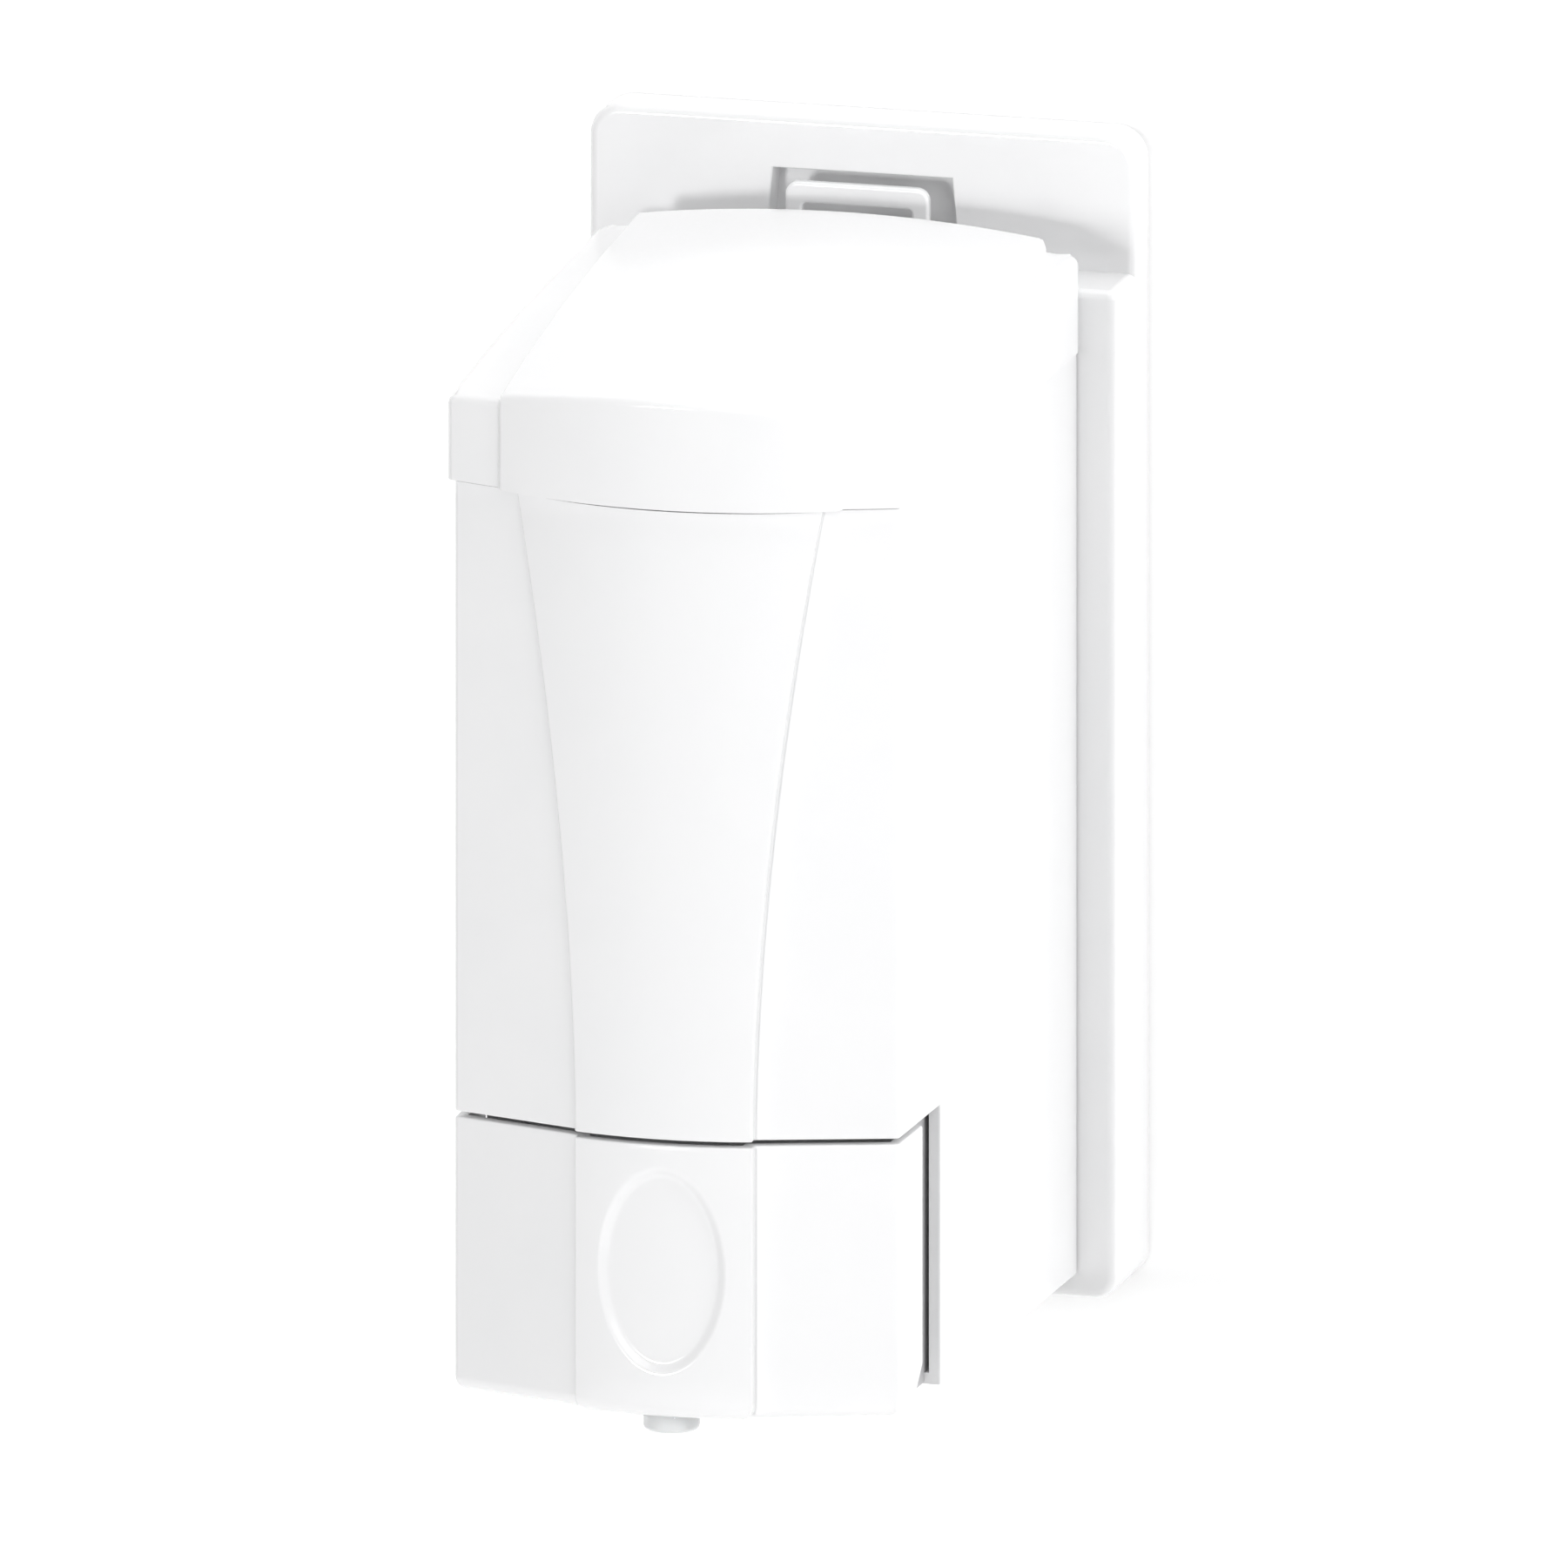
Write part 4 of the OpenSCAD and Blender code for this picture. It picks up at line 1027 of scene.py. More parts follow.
@dataclass
class PushPanel:
    """The push panel with its wings, floor, finger dish, pad and rod bosses."""

    shape: CaseShape
    wing_y: float = measured("push_panel", 1, True)
    top_z: float = measured("push_panel", 2, True)
    foot_fillet: float = 3.2
    top_fillet: float = 0.45
    wing_chamfer: float = 8.0
    dish_half: tuple[float, float] = (14.0, 22.5)
    dish_z: float = 37.8
    dish_depth: float = 1.2
    dish_rim: float = 2.1
    nozzle: Point = (0.0, -166.5)
    nozzle_r: float = 6.6
    pad_r: float = 6.0
    rod_x: float = 30.0
    rod_r: float = 2.0
    boss_y: float = -158.0
    pad_y: float = -171.4
    gap_x: float = 41.4
    gap_y: float = -158.8

    def _dish(self, x: float, z: float) -> float:
        """How deep the finger dish is at a point of the face.

        Args:
            x: Distance from the middle.
            z: Height above the foot of the wall plate.

        Returns:
            Depth in millimetres.
        """
        across, along = self.dish_half
        dz = z - self.dish_z
        q = math.hypot(x / across, dz / along)
        if q >= 1.0 or q < 1e-4:
            return 0.0 if q >= 1.0 else self.dish_depth
        steep = math.hypot(x / across**2, dz / along**2) / q
        t = min(1.0, (1.0 - q) / steep / self.dish_rim)
        return self.dish_depth * (0.45 * t + 0.55 * ease(t))

    def _heights(self, inner: bool) -> list[tuple[float, float]]:
        """Height and inset of each row of a face, from the foot up.

        Args:
            inner: True for the inner face.

        Returns:
            Pairs of height and inset.
        """
        shape = self.shape
        low, high = self.dish_z - self.dish_half[1] - 0.6, self.dish_z + self.dish_half[1] + 0.6
        middle = spread(low, high, 100)
        upper = spread(high, self.top_z - self.top_fillet, 4)[1:]
        curve = [math.pi / 2 * i / 6 for i in range(7)]
        if inner:
            low_z = shape.foot_z + shape.wall
            foot = [(low_z, shape.wall + 2.4)] * 6 + [(low_z + 2.4, shape.wall)]
            rows = foot + [(z, shape.wall) for z in middle + upper]
            return rows + [(self.top_z, shape.wall)] * 4
        r = self.foot_fillet
        foot = [(shape.foot_z + r - r * math.cos(a), r - r * math.sin(a)) for a in curve]
        rows = foot + [(z, 0.0) for z in middle + upper]
        r = self.top_fillet
        top = [math.pi / 6 * i for i in range(4)]
        return rows + [(self.top_z - r + r * math.sin(a), r - r * math.cos(a)) for a in top]

    def _sheet(self, name: str, inner: bool) -> Piece:
        """One face of the panel.

        Args:
            name: Name of the sheet.
            inner: True for the inner face.

        Returns:
            The sheet.
        """
        shape = self.shape
        rows = []
        for z, inset in self._heights(inner):
            row = []
            for x, y in shape.outline(0.0, inset, self.wing_y, 56):
                depth = 0.0 if inner else self._dish(x, z)
                row.append(at(x, y + depth, z))
            rows.append(row)
        return Bench.sheet(name, rows)

    def build(self) -> Piece:
        """Builds the push panel.

        Returns:
            The finished piece.
        """
        shape = self.shape
        panel = Bench.close(self._sheet("panel", False), [self._sheet("panel_inner", True)])
        floor_rear = self.wing_y - 0.05
        floor = shape.plan_prism(
            "floor", self.foot_fillet + 0.4, shape.foot_z + 0.02, shape.foot_z + shape.wall, floor_rear
        )
        Bench.merge(panel, floor, Merge.ADD)
        for side in SIDES:
            low_x, high_x = flank(side, self.gap_x, shape.front_half - shape.wall - 0.1)
            gap = Bench.block("gap", at(low_x, self.gap_y, 0), at(high_x, -100, shape.foot_z + 6))
            Bench.merge(panel, gap, Merge.CUT)
        leg = self.wing_chamfer * math.sqrt(0.5)
        chamfer = Bench.block(
            "chamfer",
            at(-60, self.wing_y - leg, shape.foot_z - leg),
            at(60, self.wing_y + leg, shape.foot_z + leg),
            math.pi / 4,
        )
        Bench.merge(panel, chamfer, Merge.CUT)
        x, y = self.nozzle
        hole = Bench.drum("hole", self.nozzle_r, at(x, y, 0), at(x, y, shape.foot_z + 4), 64)
        Bench.merge(panel, hole, Merge.CUT)
        front = at(0, shape.arc_y + 2.0, self.dish_z)
        pad = Bench.drum("pad", self.pad_r, front, at(0, self.pad_y, self.dish_z), 40)
        Bench.merge(panel, pad, Merge.ADD)
        for side in SIDES:
            facet_y = shape.front_y - (shape.front_half - self.rod_x - 2) * shape.facet_slope
            boss = Bench.drum(
                "boss",
                self.rod_r + 2,
                at(side * self.rod_x, facet_y + 2.0, self.dish_z),
                at(side * self.rod_x, self.boss_y, self.dish_z),
                32,
            )
            bore = Bench.drum(
                "bore",
                self.rod_r,
                at(side * self.rod_x, shape.front_y - 1, self.dish_z),
                at(side * self.rod_x, self.boss_y + 1, self.dish_z),
                32,
            )
            Bench.merge(boss, bore, Merge.CUT)
            Bench.merge(panel, boss, Merge.ADD)
        panel.name = "push_panel_shell"
        Bench.shade(panel, 30.0, weighted=False)
        return panel


@dataclass
class Lid:
    """The refill lid: a crowned top, a stepped edge, a skirt and two hinge ears."""

    shape: CaseShape
    overhang: float = 1.3
    crown_h: float = 24.0
    crown_rise: float = 6.4
    arch: float = 3.0
    side_h: float = 19.3
    side_rise: float = 5.1
    edge_drop: float = 0.6
    power: float = 2.5
    crown_front: float = 36.5
    crown_rear: float = 43.9
    step: float = 1.6
    front_r: float = 90.0
    rear_y: float = measured("lid", 1, True)
    rear_wall: float = 2.0
    gap: float = 0.6
    hinge: Point = (-33.0, 226.0)
    knuckle: tuple[float, float] = (32.9, 37.4)
    ear: tuple[float, float] = (29.0, 32.9)
    ear_r: float = 3.0
    pin_r: float = 1.55
    top_edge: float = 1.5
    rear_corner: float = 3.4
    front_corner: float = 1.3
    rows: int = 30

    def _columns(self) -> list[tuple[str, float]]:
        """Zones of the half width, as a zone's name and a fraction across it."""
        crown = [("crown", i / 12) for i in range(13)]
        step = [("step", i / 6) for i in range(1, 7)]
        brim = [("brim", i / 3) for i in range(1, 4)]
        return crown + step + brim

    def _point(self, zone: str, share: float, side: int, t: float, inset: float) -> Vector:
        """A point of the lid's top.

        Args:
            zone: Part of the half width.
            share: Fraction across that part.
            side: -1 for the left, 1 for the right.
            t: Fraction of the depth, from the front.
            inset: Distance inside the outer face.

        Returns:
            The point in the frame.
        """
        shape = self.shape
        rise = 1 - (1 - t) ** self.power
        seg_front = self.crown_front
        seg = seg_front + (self.crown_rear - seg_front) * t
        outer_front = shape.front_half + self.overhang - inset
        outer = outer_front + shape.flare * t
        crown_z = shape.shoulder_z + self.crown_h + self.crown_rise * rise
        brim_z = shape.shoulder_z + self.side_h + self.side_rise * rise

        def arc(x: float) -> float:
            """Front of the crown."""
            return shape.arc_y - self.overhang + self.front_r - math.sqrt(self.front_r**2 - x * x)

        def facet(x: float) -> float:
            """Front of the brim."""
            return shape.front_y - self.overhang - (outer_front + inset - x) * shape.facet_slope

        if zone == "crown":
            x, x_front = seg * share, seg_front * share
            z, start = crown_z - self.arch * share * share, arc(x_front)
        elif zone == "step":
            x, x_front = seg + self.step * share, seg_front + self.step * share
            t_step = ease(share)
            z = (crown_z - self.arch) * (1 - t_step) + brim_z * t_step
            start = arc(seg_front) * (1 - t_step) + facet(x_front) * t_step
        else:
            inner, inner_front = seg + self.step, seg_front + self.step
            x = inner + (outer - inner) * share
            x_front = inner_front + (outer_front - inner_front) * share
            z, start = brim_z - self.edge_drop * share, facet(x_front)
        start += inset
        end = self.rear_y - (self.rear_wall if inset else 0)
        return at(side * x, start + (end - start) * t, z - inset)

    def _lower_edge(self, y: float) -> float:
        """Height of the skirt's lower edge."""
        return self.shape.shoulder(y) + self.gap

    def build(self) -> Piece:
        """Builds the lid.

        Returns:
            The finished piece.
        """
        lid = self._dome("refill_lid_shell", 0.0)
        core = self._dome("lid_core", self.shape.wall)
        Bench.merge(lid, core, Merge.CUT)
        self._open_rear(lid)
        self._ears(lid)
        Bench.shade(lid, 34.0)
        return lid

    def _dome(self, name: str, inset: float) -> Piece:
        """The solid under the lid's top, or its hollow.

        Args:
            name: Name of the piece.
            inset: Distance inside the outer face, 0 for the solid itself.

        Returns:
            The new object.
        """
        columns = self._columns()
        rows = []
        for i in range(self.rows + 1):
            t = i / self.rows
            right = [self._point(zone, share, 1, t, inset) for zone, share in columns]
            left = [self._point(zone, share, -1, t, inset) for zone, share in reversed(columns[1:])]
            rows.append(left + right)
        dome = Bench.sheet(name, rows)
        self._skirt(dome, 1.5 if inset else 0.0)
        if not inset:
            self._round(dome)
        Bench.hold(dome)
        bpy.ops.object.mode_set(mode="EDIT")
        bpy.ops.mesh.select_all(action="SELECT")
        bpy.ops.mesh.remove_doubles(threshold=1e-6)
        Bench.grab_rim(dome)
        bpy.ops.mesh.edge_face_add()
        Bench.face_out(dome)
        return dome

    def _skirt(self, dome: Piece, extra: float) -> None:
        """Draws the skirt down from the rim of the top.

        Args:
            dome: The top sheet.
            extra: How far it goes below the lid's lower edge.
        """
        Bench.grab_rim(dome)
        bpy.ops.mesh.extrude_edges_move(TRANSFORM_OT_translate={"value": (0, 0, -5 * MM)})
        bpy.ops.object.mode_set(mode="OBJECT")
        for vertex in dome.data.vertices:
            if vertex.select:
                y = vertex.co.y / MM
                vertex.co.z = at(0, 0, self._lower_edge(y) - extra).z

    def _round(self, lid: Piece) -> None:
        """Rounds the upright corners and the rim of the top.

        Args:
            lid: The top with its skirt.
        """
        shape = self.shape
        outer = shape.front_half + self.overhang

        def upright(a: Vector, b: Vector) -> bool:
            """True for a long upright edge."""
            return abs(a.x - b.x) < 0.01 and abs(a.y - b.y) < 0.01 and abs(a.z - b.z) > 10

        def rear_corner(a: Vector, b: Vector) -> bool:
            """True for an upright edge at a rear corner."""
            return upright(a, b) and abs(a.x) > outer + shape.flare - 0.05 and a.y > self.rear_y - 0.05

        def front_corner(a: Vector, b: Vector) -> bool:
            """True for an upright edge at a front corner."""
            return upright(a, b) and abs(abs(a.x) - outer) < 0.02 and a.y < shape.front_y

        Bench.soften(lid, rear_corner, self.rear_corner, 6)
        Bench.soften(lid, front_corner, self.front_corner, 4)
        self._rim_edges(lid)

    def _rim_edges(self, lid: Piece) -> None:
        """Rounds the rim, found as the edges between a level face and an upright one.

        Args:
            lid: The top with its skirt.
        """
        wanted = set()
        for key, pair in Bench.beside(lid).items():
            upright, level = sorted(abs(normal.z) for normal in pair)
            if upright < 0.2 and level > 0.45:
                wanted.add(key)
        Bench.grab(lid, wanted)
        Bench.bevel(self.top_edge, 4)

    def _open_rear(self, lid: Piece) -> None:
        """Opens the rear skirt and the notches for the knuckles.

        Args:
            lid: The shell.
        """
        shape = self.shape
        half = shape.side(shape.rear_y) - 1.6
        rear = Bench.block("rear", at(-half, self.rear_y - 3, shape.shoulder_z - 5), at(half, 0, 222))
        Bench.merge(lid, rear, Merge.CUT)
        low_x, high_x = self.knuckle
        for side in SIDES:
            near, far = flank(side, low_x, high_x)
            notch = Bench.block(
                "notch", at(near, self.hinge[0] - 5, shape.shoulder_z - 5), at(far, 0, self.hinge[1] + 3.8)
            )
            Bench.merge(lid, notch, Merge.CUT)

    def _ears(self, lid: Piece) -> None:
        """Adds the two hinge ears with their pin bores.

        Args:
            lid: The shell.
        """
        y, z = self.hinge
        for side in SIDES:
            low_x, high_x = flank(side, *self.ear)
            ear = Bench.drum("ear", self.ear_r, at(low_x, y, z), at(high_x, y, z), 40)
            web = Bench.block("web", at(low_x, y - self.ear_r, z), at(high_x, y + self.ear_r, z + 5.4))
            Bench.merge(ear, web, Merge.ADD)
            Bench.merge(lid, ear, Merge.ADD)
            bore = Bench.drum("bore", self.pin_r, at(low_x - 0.5, y, z), at(high_x + 0.5, y, z), 32)
            Bench.merge(lid, bore, Merge.CUT)


@dataclass
class WallPlate:
    """The wall plate: a deep chassis under a thinner upstand with the latch pocket."""

    half: float = measured("wall_plate", 0, True)
    height: float = measured("wall_plate", 2, True)
    chassis: float = measured("wall_plate", 1, False)
    upstand: float = -10.5
    ledge_z: float = 220.0
    wall: float = 3.0
    edge: float = 2.0
    top_corner: float = 7.0
    foot_corner: float = 4.5
    screws: tuple[float, float, float] = (40.0, 50.0, 200.0)
    pocket: tuple[float, float, float] = (21.25, 19.65, 238.3)
    pocket_y: float = -3.5
    latch: tuple[float, float] = (-13.85, 185.0)
    ear_in: float = 16.3
    hook_x: float = 22.0
    hook_half: float = 5.5
    hook_rows: tuple[float, float] = (40.0, 150.0)
    window_h: float = 12.0
    keeper_half: float = 9.0
    keeper_rows: tuple[float, float] = (204.0, 211.0)
    boss_r: float = 8.5
    hole_r: float = 2.5
    head_r: float = 5.5
    rib_z: float = 100.0
    pin_r: float = 1.5
    latch_room: float = 3.65

    def _slab(self, name: str, front: float, top: float, top_r: float) -> Piece:
        """A slab on the wall with rounded corners and a rounded front edge.

        Args:
            name: Name of the slab.
            front: Its front face.
            top: Its top.
            top_r: Radius of its top corners.

        Returns:
            The new object.
        """
        slab = Bench.block(name, at(-self.half, front, 0), at(self.half, 0, top))

        def upper(a: Vector, b: Vector) -> bool:
            """True for the two upper corners."""
            return abs(a.y - b.y) > 1 and min(a.z, b.z) > top - 0.01

        def lower(a: Vector, b: Vector) -> bool:
            """True for the two lower corners."""
            return abs(a.y - b.y) > 1 and max(a.z, b.z) < 0.01

        def face(a: Vector, b: Vector) -> bool:
            """True for the edge round the front face."""
            return max(a.y, b.y) < front + 0.01

        Bench.soften(slab, upper, top_r, 8)
        Bench.soften(slab, lower, self.foot_corner, 8)
        Bench.soften(slab, face, self.edge, 5)
        return slab

    def build(self) -> Piece:
        """Builds the wall plate.

        Returns:
            The finished piece.
        """
        plate = self._slab("plate", self.upstand, self.height, self.top_corner)
        body = self._slab("chassis", self.chassis, self.ledge_z, self.edge + 0.05)
        Bench.merge(plate, body, Merge.ADD)
        self._hollow(plate)
        self._cut(plate)
        plate.name = "wall_plate_shell"
        self._round(plate)
        Bench.shade(plate, 40.0)
        return plate

    def _hollow(self, plate: Piece) -> None:
        """Hollows the plate from the rear and adds its ribs, bosses and latch ears.

        Args:
            plate: The solid plate.
        """
        wall, half, front = self.wall, self.half, self.chassis
        boxes = [((-half + wall, front + wall, wall), (half - wall, 1, self.ledge_z - wall))]
        inner = self.pocket[0] + wall
        for side in SIDES:
            low_x, high_x = flank(side, inner, half - wall)
            boxes.append(((low_x, self.upstand + wall, self.ledge_z), (high_x, 1, self.height - wall)))
        for low, high in boxes:
            Bench.merge(plate, Bench.block("hollow", at(*low), at(*high)), Merge.CUT)
        x, *heights = self.screws
        pivot_z = self.latch[1]
        for side in SIDES:
            for z in heights:
                boss = Bench.drum("boss", self.boss_r, at(side * x, front + 1, z), at(side * x, -0.02, z), 48)
                Bench.merge(plate, boss, Merge.ADD)
            low_x, high_x = flank(side, self.ear_in, self.ear_in + wall)
            ear = Bench.block("ear", at(low_x, front + 1, pivot_z - 7), at(high_x, -0.02, self.ledge_z - 1))
            Bench.merge(plate, ear, Merge.ADD)
        bars = [
            ((-self.ear_in - 1, -wall, pivot_z + 7), (self.ear_in + 1, -0.04, pivot_z + 23)),
            ((-wall / 2, front + 1, 1), (wall / 2, -0.04, pivot_z - 7)),
            ((1 - half, front + 1, self.rib_z - wall / 2), (half - 1, -0.06, self.rib_z + wall / 2)),
        ]
        for low, high in bars:
            Bench.merge(plate, Bench.block("rib", at(*low), at(*high)), Merge.ADD)

    def _cut(self, plate: Piece) -> None:
        """Cuts the screw holes, the latch pocket and the windows.

        Args:
            plate: The hollow plate.
        """
        x, *heights = self.screws
        latch_y, pivot_z = self.latch
        front = self.chassis
        rear = front + self.wall + 0.01
        low_half, top_half, top = self.pocket
        corners = [(-low_half, self.ledge_z), (low_half, self.ledge_z), (top_half, top), (-top_half, top)]
        pocket = Bench.prism(
            "pocket",
            [at(px, front - 1, pz) for px, pz in corners],
            Vector((0, (self.pocket_y - front + 1) * MM, 0)),
        )
        Bench.merge(plate, pocket, Merge.CUT)
        for side in SIDES:
            for z in heights:
                spot = side * x
                hole = Bench.drum("hole", self.hole_r, at(spot, -5, z), at(spot, 1, z), 32)
                Bench.merge(plate, hole, Merge.CUT)
                head = Bench.drum("head", self.head_r, at(spot, front - 1, z), at(spot, -4, z), 48)
                Bench.merge(plate, head, Merge.CUT)
            for z in self.hook_rows:
                low_x, high_x = flank(side, self.hook_x - self.hook_half, self.hook_x + self.hook_half)
                low, high = at(low_x, front - 1, z), at(high_x, rear, z + self.window_h)
                window = Bench.block("window", low, high)
                Bench.merge(plate, window, Merge.CUT)
        ear, keeper = self.ear_in, self.keeper_half
        low_z, high_z = self.keeper_rows
        boxes = [
            ((-ear, latch_y - self.latch_room, self.ledge_z - 4), (ear, self.pocket_y, self.ledge_z + 1)),
            ((-keeper, front - 1, low_z), (keeper, rear, high_z)),
        ]
        for low, high in boxes:
            Bench.merge(plate, Bench.block("opening", at(*low), at(*high)), Merge.CUT)
        bore = Bench.drum("bore", self.pin_r, at(-25, latch_y, pivot_z), at(25, latch_y, pivot_z), 32)
        Bench.merge(plate, bore, Merge.CUT)

    def _round(self, plate: Piece) -> None:
        """Rounds the rim of the latch pocket a little.

        Args:
            plate: The plate.
        """
        low_half, _, top = self.pocket

        def rim(a: Vector, b: Vector) -> bool:
            """True for the pocket's rim on the upstand's face."""
            level = all(abs(p.y - self.upstand) < 0.01 for p in (a, b))
            near = all(
                abs(p.x) < low_half + 0.2 and self.ledge_z + 0.2 < p.z < top + 0.2
                or abs(abs(p.x) - low_half) < 0.3 and p.z < top
                for p in (a, b)
            )
            return level and near and max(a.z, b.z) > self.ledge_z + 0.5

        Bench.soften(plate, rim, 0.5, 3)


@dataclass
class ReleaseLatch:
    """The release latch: a loop with a barrel at its foot and a nose that locks the keeper."""

    half: float = measured("release_latch", 0, True)
    top: float = measured("release_latch", 2, True)
    y: float = -13.85
    thick: float = 2.5
    pivot_z: float = 185.0
    leg: float = 3.7
    bar: float = 4.6
    window_foot: float = 216.0
    corner: float = 2.8
    edge: float = 0.7
    barrel_r: float = 3.4
    pin_r: float = 1.55
    nose_half: float = 5.0
    nose_reach: float = 5.4
    nose_rows: tuple[float, float] = (209.4, 213.0)

    def build(self) -> Piece:
        """Builds the latch.

        Returns:
            The finished piece.
        """
        front, rear = self.y - self.thick / 2, self.y + self.thick / 2
        loop = Bench.block("loop", at(-self.half, front, self.pivot_z - 5), at(self.half, rear, self.top))
        window = Bench.block(
            "window",
            at(self.leg - self.half, front - 2, self.window_foot),
            at(self.half - self.leg, rear + 2, self.top - self.bar),
        )

        def across(a: Vector, b: Vector) -> bool:
            """True for an edge from the front face to the rear face."""
            return abs(a.y - b.y) > 1

        Bench.soften(loop, across, self.corner, 8)
        Bench.soften(window, across, 1.0, 5)
        Bench.merge(loop, window, Merge.CUT)

        def face(a: Vector, b: Vector) -> bool:
            """True for an edge of the front or rear face."""
            return abs(a.y - b.y) < 0.01 and (abs(a.y - front) < 0.01 or abs(a.y - rear) < 0.01)

        Bench.soften(loop, face, self.edge, 4)
        pivot = [at(x, self.y, self.pivot_z) for x in (-self.half, self.half)]
        barrel = Bench.drum("barrel", self.barrel_r, *pivot)
        Bench.merge(loop, barrel, Merge.ADD)
        low_z, high_z = self.nose_rows
        nose = Bench.block(
            "nose", at(-self.nose_half, front - self.nose_reach, low_z), at(self.nose_half, self.y, high_z)
        )
        Bench.merge(loop, nose, Merge.ADD)
        pivot = [at(x, self.y, self.pivot_z) for x in (-self.half - 1, self.half + 1)]
        bore = Bench.drum("bore", self.pin_r, *pivot, 32)
        Bench.merge(loop, bore, Merge.CUT)
        loop.name = "release_latch_loop"
        Bench.shade(loop, 35.0)
        return loop


@dataclass
class Nozzle:
    """The translucent tip that the soap leaves by."""

    x: float = 0.0
    y: float = -166.5
    low: float = measured("nozzle", 2, False)
    high: float = measured("nozzle", 2, True)
    radius: float = 6.0
    spout_r: float = 4.5
    mouth_r: float = 3.0
    lead: float = 1.0

    def build(self) -> Piece:
        """Builds the nozzle.

        Returns:
            The finished piece.
        """
        tip = Bench.drum("tip", self.radius, at(self.x, self.y, self.low), at(self.x, self.y, self.high), 96)

        def foot(a: Vector, b: Vector) -> bool:
            """True for the lower rim."""
            return max(a.z, b.z) < self.low + 0.01

        def head(a: Vector, b: Vector) -> bool:
            """True for the upper rim."""
            return min(a.z, b.z) > self.high - 0.01

        Bench.soften(tip, foot, self.lead, 5)
        Bench.soften(tip, head, 0.3, 2)
        bores = ((self.spout_r, self.low + 2.5, self.high + 1), (self.mouth_r, self.low - 1, self.low + 3))
        for radius, start, end in bores:
            bore = Bench.drum("bore", radius, at(self.x, self.y, start), at(self.x, self.y, end), 64)
            Bench.merge(tip, bore, Merge.CUT)
        tip.name = "nozzle_tip"
        Bench.shade(tip, 40.0)
        return tip


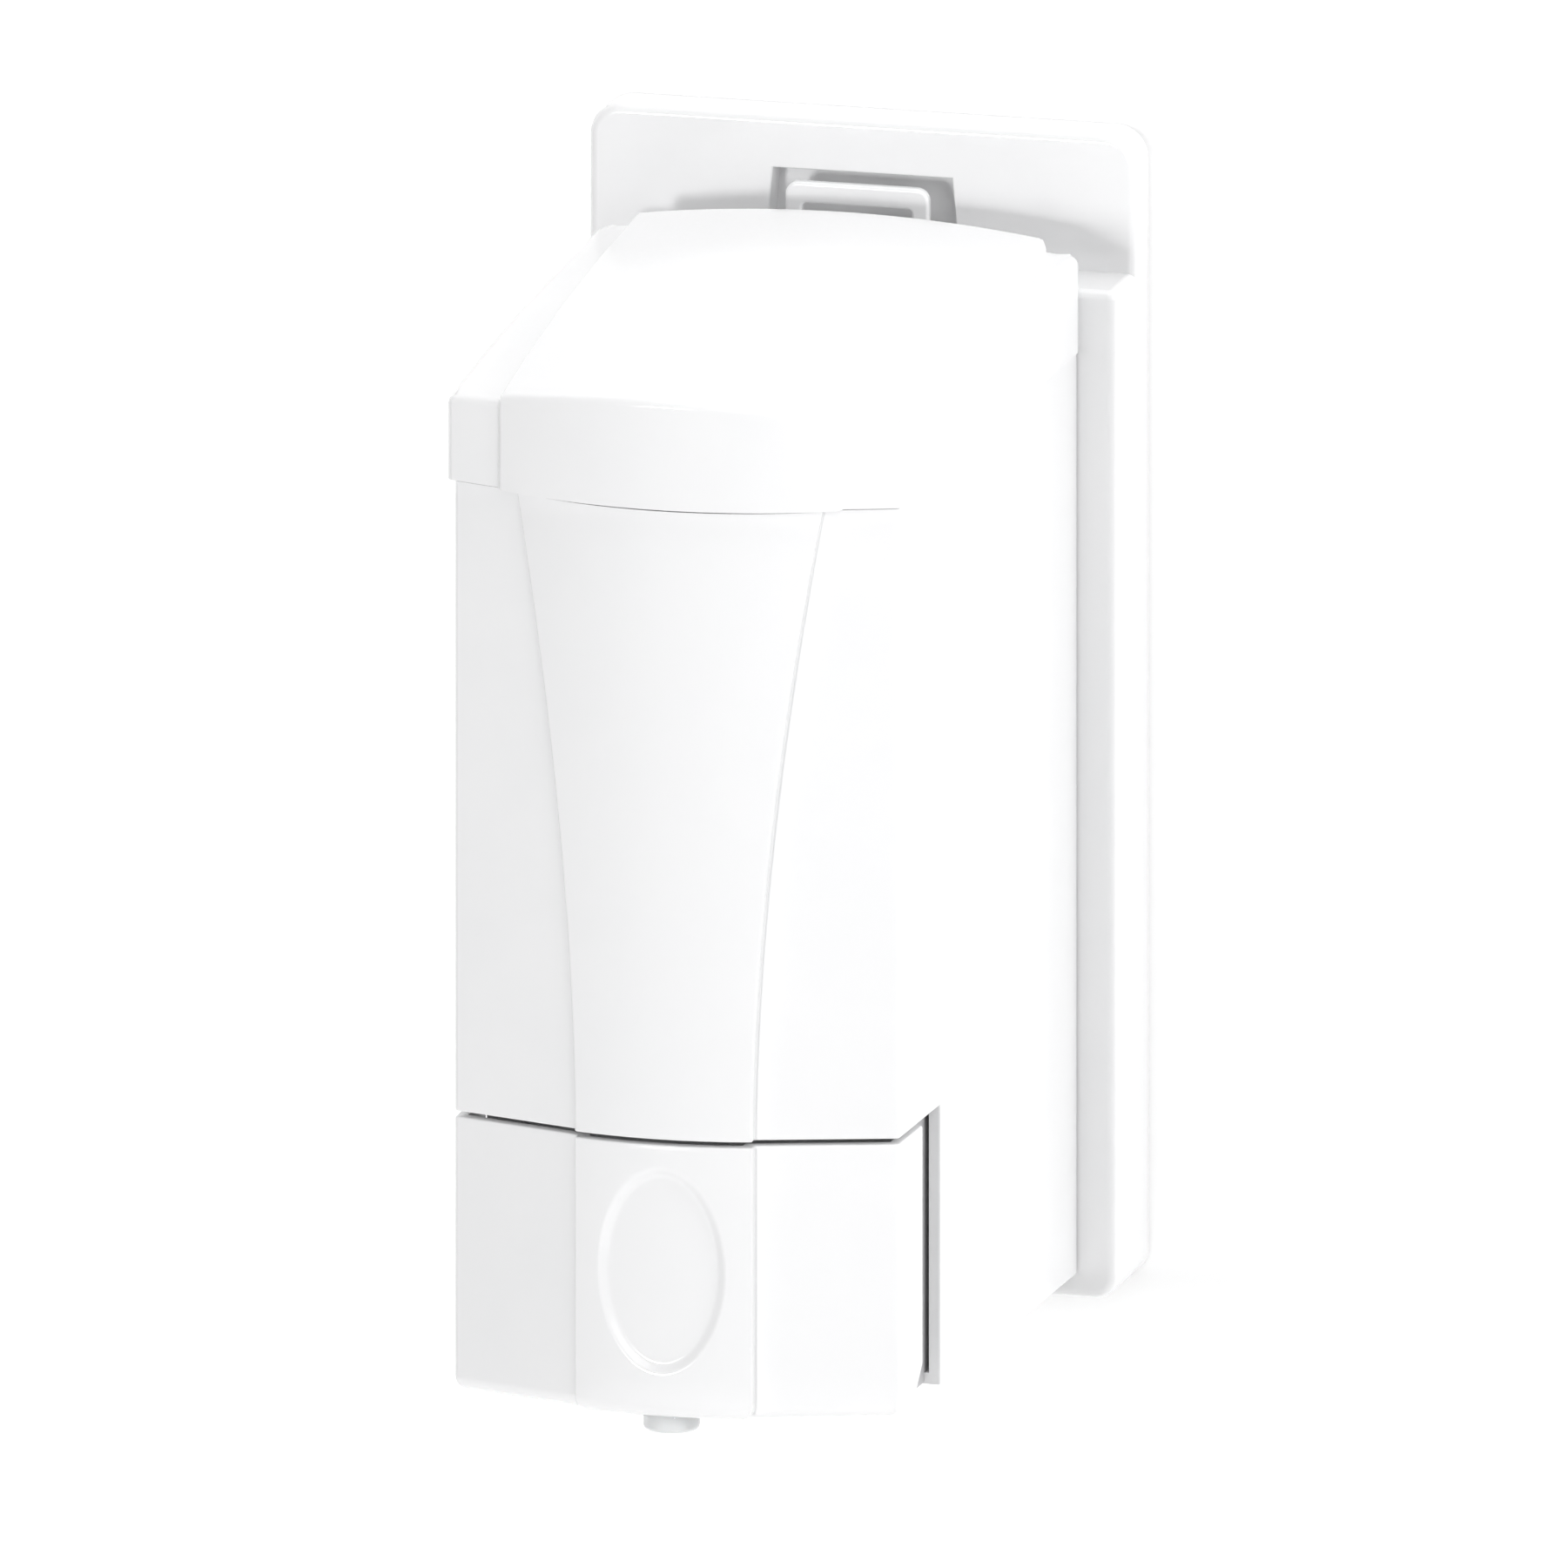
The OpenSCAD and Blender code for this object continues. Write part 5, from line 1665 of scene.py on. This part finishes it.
@dataclass
class Studio:
    """A pale wall, a pale floor, soft light and the camera."""

    azimuth: float = 15.0
    elevation: float = 13.8
    width: float = 0.3324
    aim: tuple[float, float] = (-0.01928, -0.02186)
    distance: float = 1.6
    floor_z: float = -0.9

    def _axes(self) -> tuple[Vector, Vector, Vector]:
        """Right, up and back of the camera."""
        a, e = math.radians(self.azimuth), math.radians(self.elevation)
        right = Vector((math.cos(a), math.sin(a), 0))
        up = Vector((-math.sin(a) * math.sin(e), math.cos(a) * math.sin(e), math.cos(e)))
        back = Vector((math.sin(a) * math.cos(e), -math.cos(a) * math.cos(e), math.sin(e)))
        return right, up, back

    def camera(self) -> None:
        """Places the camera."""
        right, up, back = self._axes()
        centre = right * self.aim[0] + up * self.aim[1]
        data = bpy.data.cameras.new("camera")
        data.type = "ORTHO"
        data.ortho_scale = self.width
        data.clip_start, data.clip_end = 0.01, 20.0
        camera = bpy.data.objects.new("camera", data)
        camera.rotation_mode = "QUATERNION"
        camera.location = centre + back * self.distance
        camera.rotation_quaternion = (-back).to_track_quat("-Z", "Y")
        bpy.context.scene.collection.objects.link(camera)
        bpy.context.scene.camera = camera

    def _lamp(self, name: str, spot: Vector, size: float, power: float) -> None:
        """A square soft light that faces the dispenser.

        Args:
            name: Name of the light.
            spot: Its place.
            size: Its side, in metres.
            power: Its power in watts.
        """
        data = bpy.data.lights.new(name, "AREA")
        data.shape = "SQUARE"
        data.size = size
        data.energy = power
        lamp = bpy.data.objects.new(name, data)
        lamp.location = spot
        lamp.rotation_mode = "QUATERNION"
        lamp.rotation_quaternion = (Vector((0, -0.08, 0)) - spot).to_track_quat("-Z", "Y")
        bpy.context.scene.collection.objects.link(lamp)

    def lights(self) -> None:
        """Places the lights and the bright surroundings."""
        self._lamp("key", Vector((-0.66, -3.0, 0.2)), 0.4, 34.0)
        self._lamp("fill", Vector((0.5, -1.5, 1.1)), 0.9, 3.5)
        self._lamp("side", Vector((1.7, -0.3, 0.4)), 0.8, 11.5)
        self._lamp("near", Vector((0.42, -0.68, 0.22)), 0.4, 0.85)
        self._lamp("top", Vector((0.1, -0.25, 1.5)), 0.8, 8.5)
        world = bpy.data.worlds.new("surroundings")
        world.use_nodes = True
        sky = world.node_tree.nodes["Background"]
        sky.inputs["Color"].default_value = (1.0, 1.0, 1.0, 1.0)
        sky.inputs["Strength"].default_value = 0.18
        bpy.context.scene.world = world
        bpy.context.scene.view_settings.view_transform = "Standard"
        bpy.context.scene.view_settings.look = "None"

    def _paint(self) -> bpy.types.Material:
        """Pale matt paint, seen from its front only."""
        material = bpy.data.materials.new("pale_paint")
        material.use_nodes = True
        material.node_tree.nodes.clear()
        graph = Graph(material.node_tree)
        place = graph.add("ShaderNodeTexCoord").outputs["Object"]
        paint = graph.add("ShaderNodeBsdfPrincipled")
        paint.inputs["Base Color"].default_value = (0.93, 0.93, 0.93, 1.0)
        paint.inputs["Roughness"].default_value = 0.9
        paint.inputs["Specular IOR Level"].default_value = 0.1
        paint.inputs["Emission Color"].default_value = (1.0, 1.0, 1.0, 1.0)
        paint.inputs["Emission Strength"].default_value = 0.2
        bump = graph.add("ShaderNodeBump")
        bump.inputs["Strength"].default_value = 0.05
        bump.inputs["Distance"].default_value = 0.0001
        graph.link(graph.noise(place, 900.0, 3.0), bump.inputs["Height"])
        graph.link(bump.outputs["Normal"], paint.inputs["Normal"])
        clear = graph.add("ShaderNodeBsdfTransparent")
        side = graph.add("ShaderNodeNewGeometry")
        mix = graph.add("ShaderNodeMixShader")
        result = graph.add("ShaderNodeOutputMaterial")
        graph.link(side.outputs["Backfacing"], mix.inputs[0])
        graph.link(paint.outputs[0], mix.inputs[1])
        graph.link(clear.outputs[0], mix.inputs[2])
        graph.link(mix.outputs[0], result.inputs["Surface"])
        return material

    def stage(self) -> None:
        """Lays the wall and the floor."""
        paint = self._paint()
        for name, spot, turn in (
            ("stage_wall", (0, 0.0006, 0.6), (math.pi / 2, 0, 0)),
            ("stage_floor", (0, -1.5, self.floor_z), (0, 0, 0)),
        ):
            Bench.clear()
            bpy.ops.mesh.primitive_plane_add(size=3.0, location=spot, rotation=turn)
            plane = Bench.settle(name)
            plane.data.materials.append(paint)


def main() -> None:
    """Builds the dispenser's looks in order and reports each piece."""
    logging.basicConfig(level=logging.INFO, format="%(name)s: %(message)s")
    studio = Studio()
    studio.camera()
    studio.lights()
    studio.stage()
    paints = Paintbox()
    shape = CaseShape()
    paints.hand_over(WallPlate().build(), Body.WALL_UNIT, "wall_plate")
    paints.hand_over(ReleaseLatch().build(), Body.LATCH, "release_latch")
    paints.hand_over(Housing(shape).build(), Body.WALL_UNIT, "housing")
    paints.hand_over(PushPanel(shape).build(), Body.PUSH_UNIT, "push_panel")
    paints.hand_over(Lid(shape).build(), Body.REFILL_LID, "lid")
    paints.hand_over(Nozzle().build(), Body.PUSH_UNIT, "nozzle")
    paints.dress_nodes()
    Bench.clear()


if __name__ == "__main__":
    main()
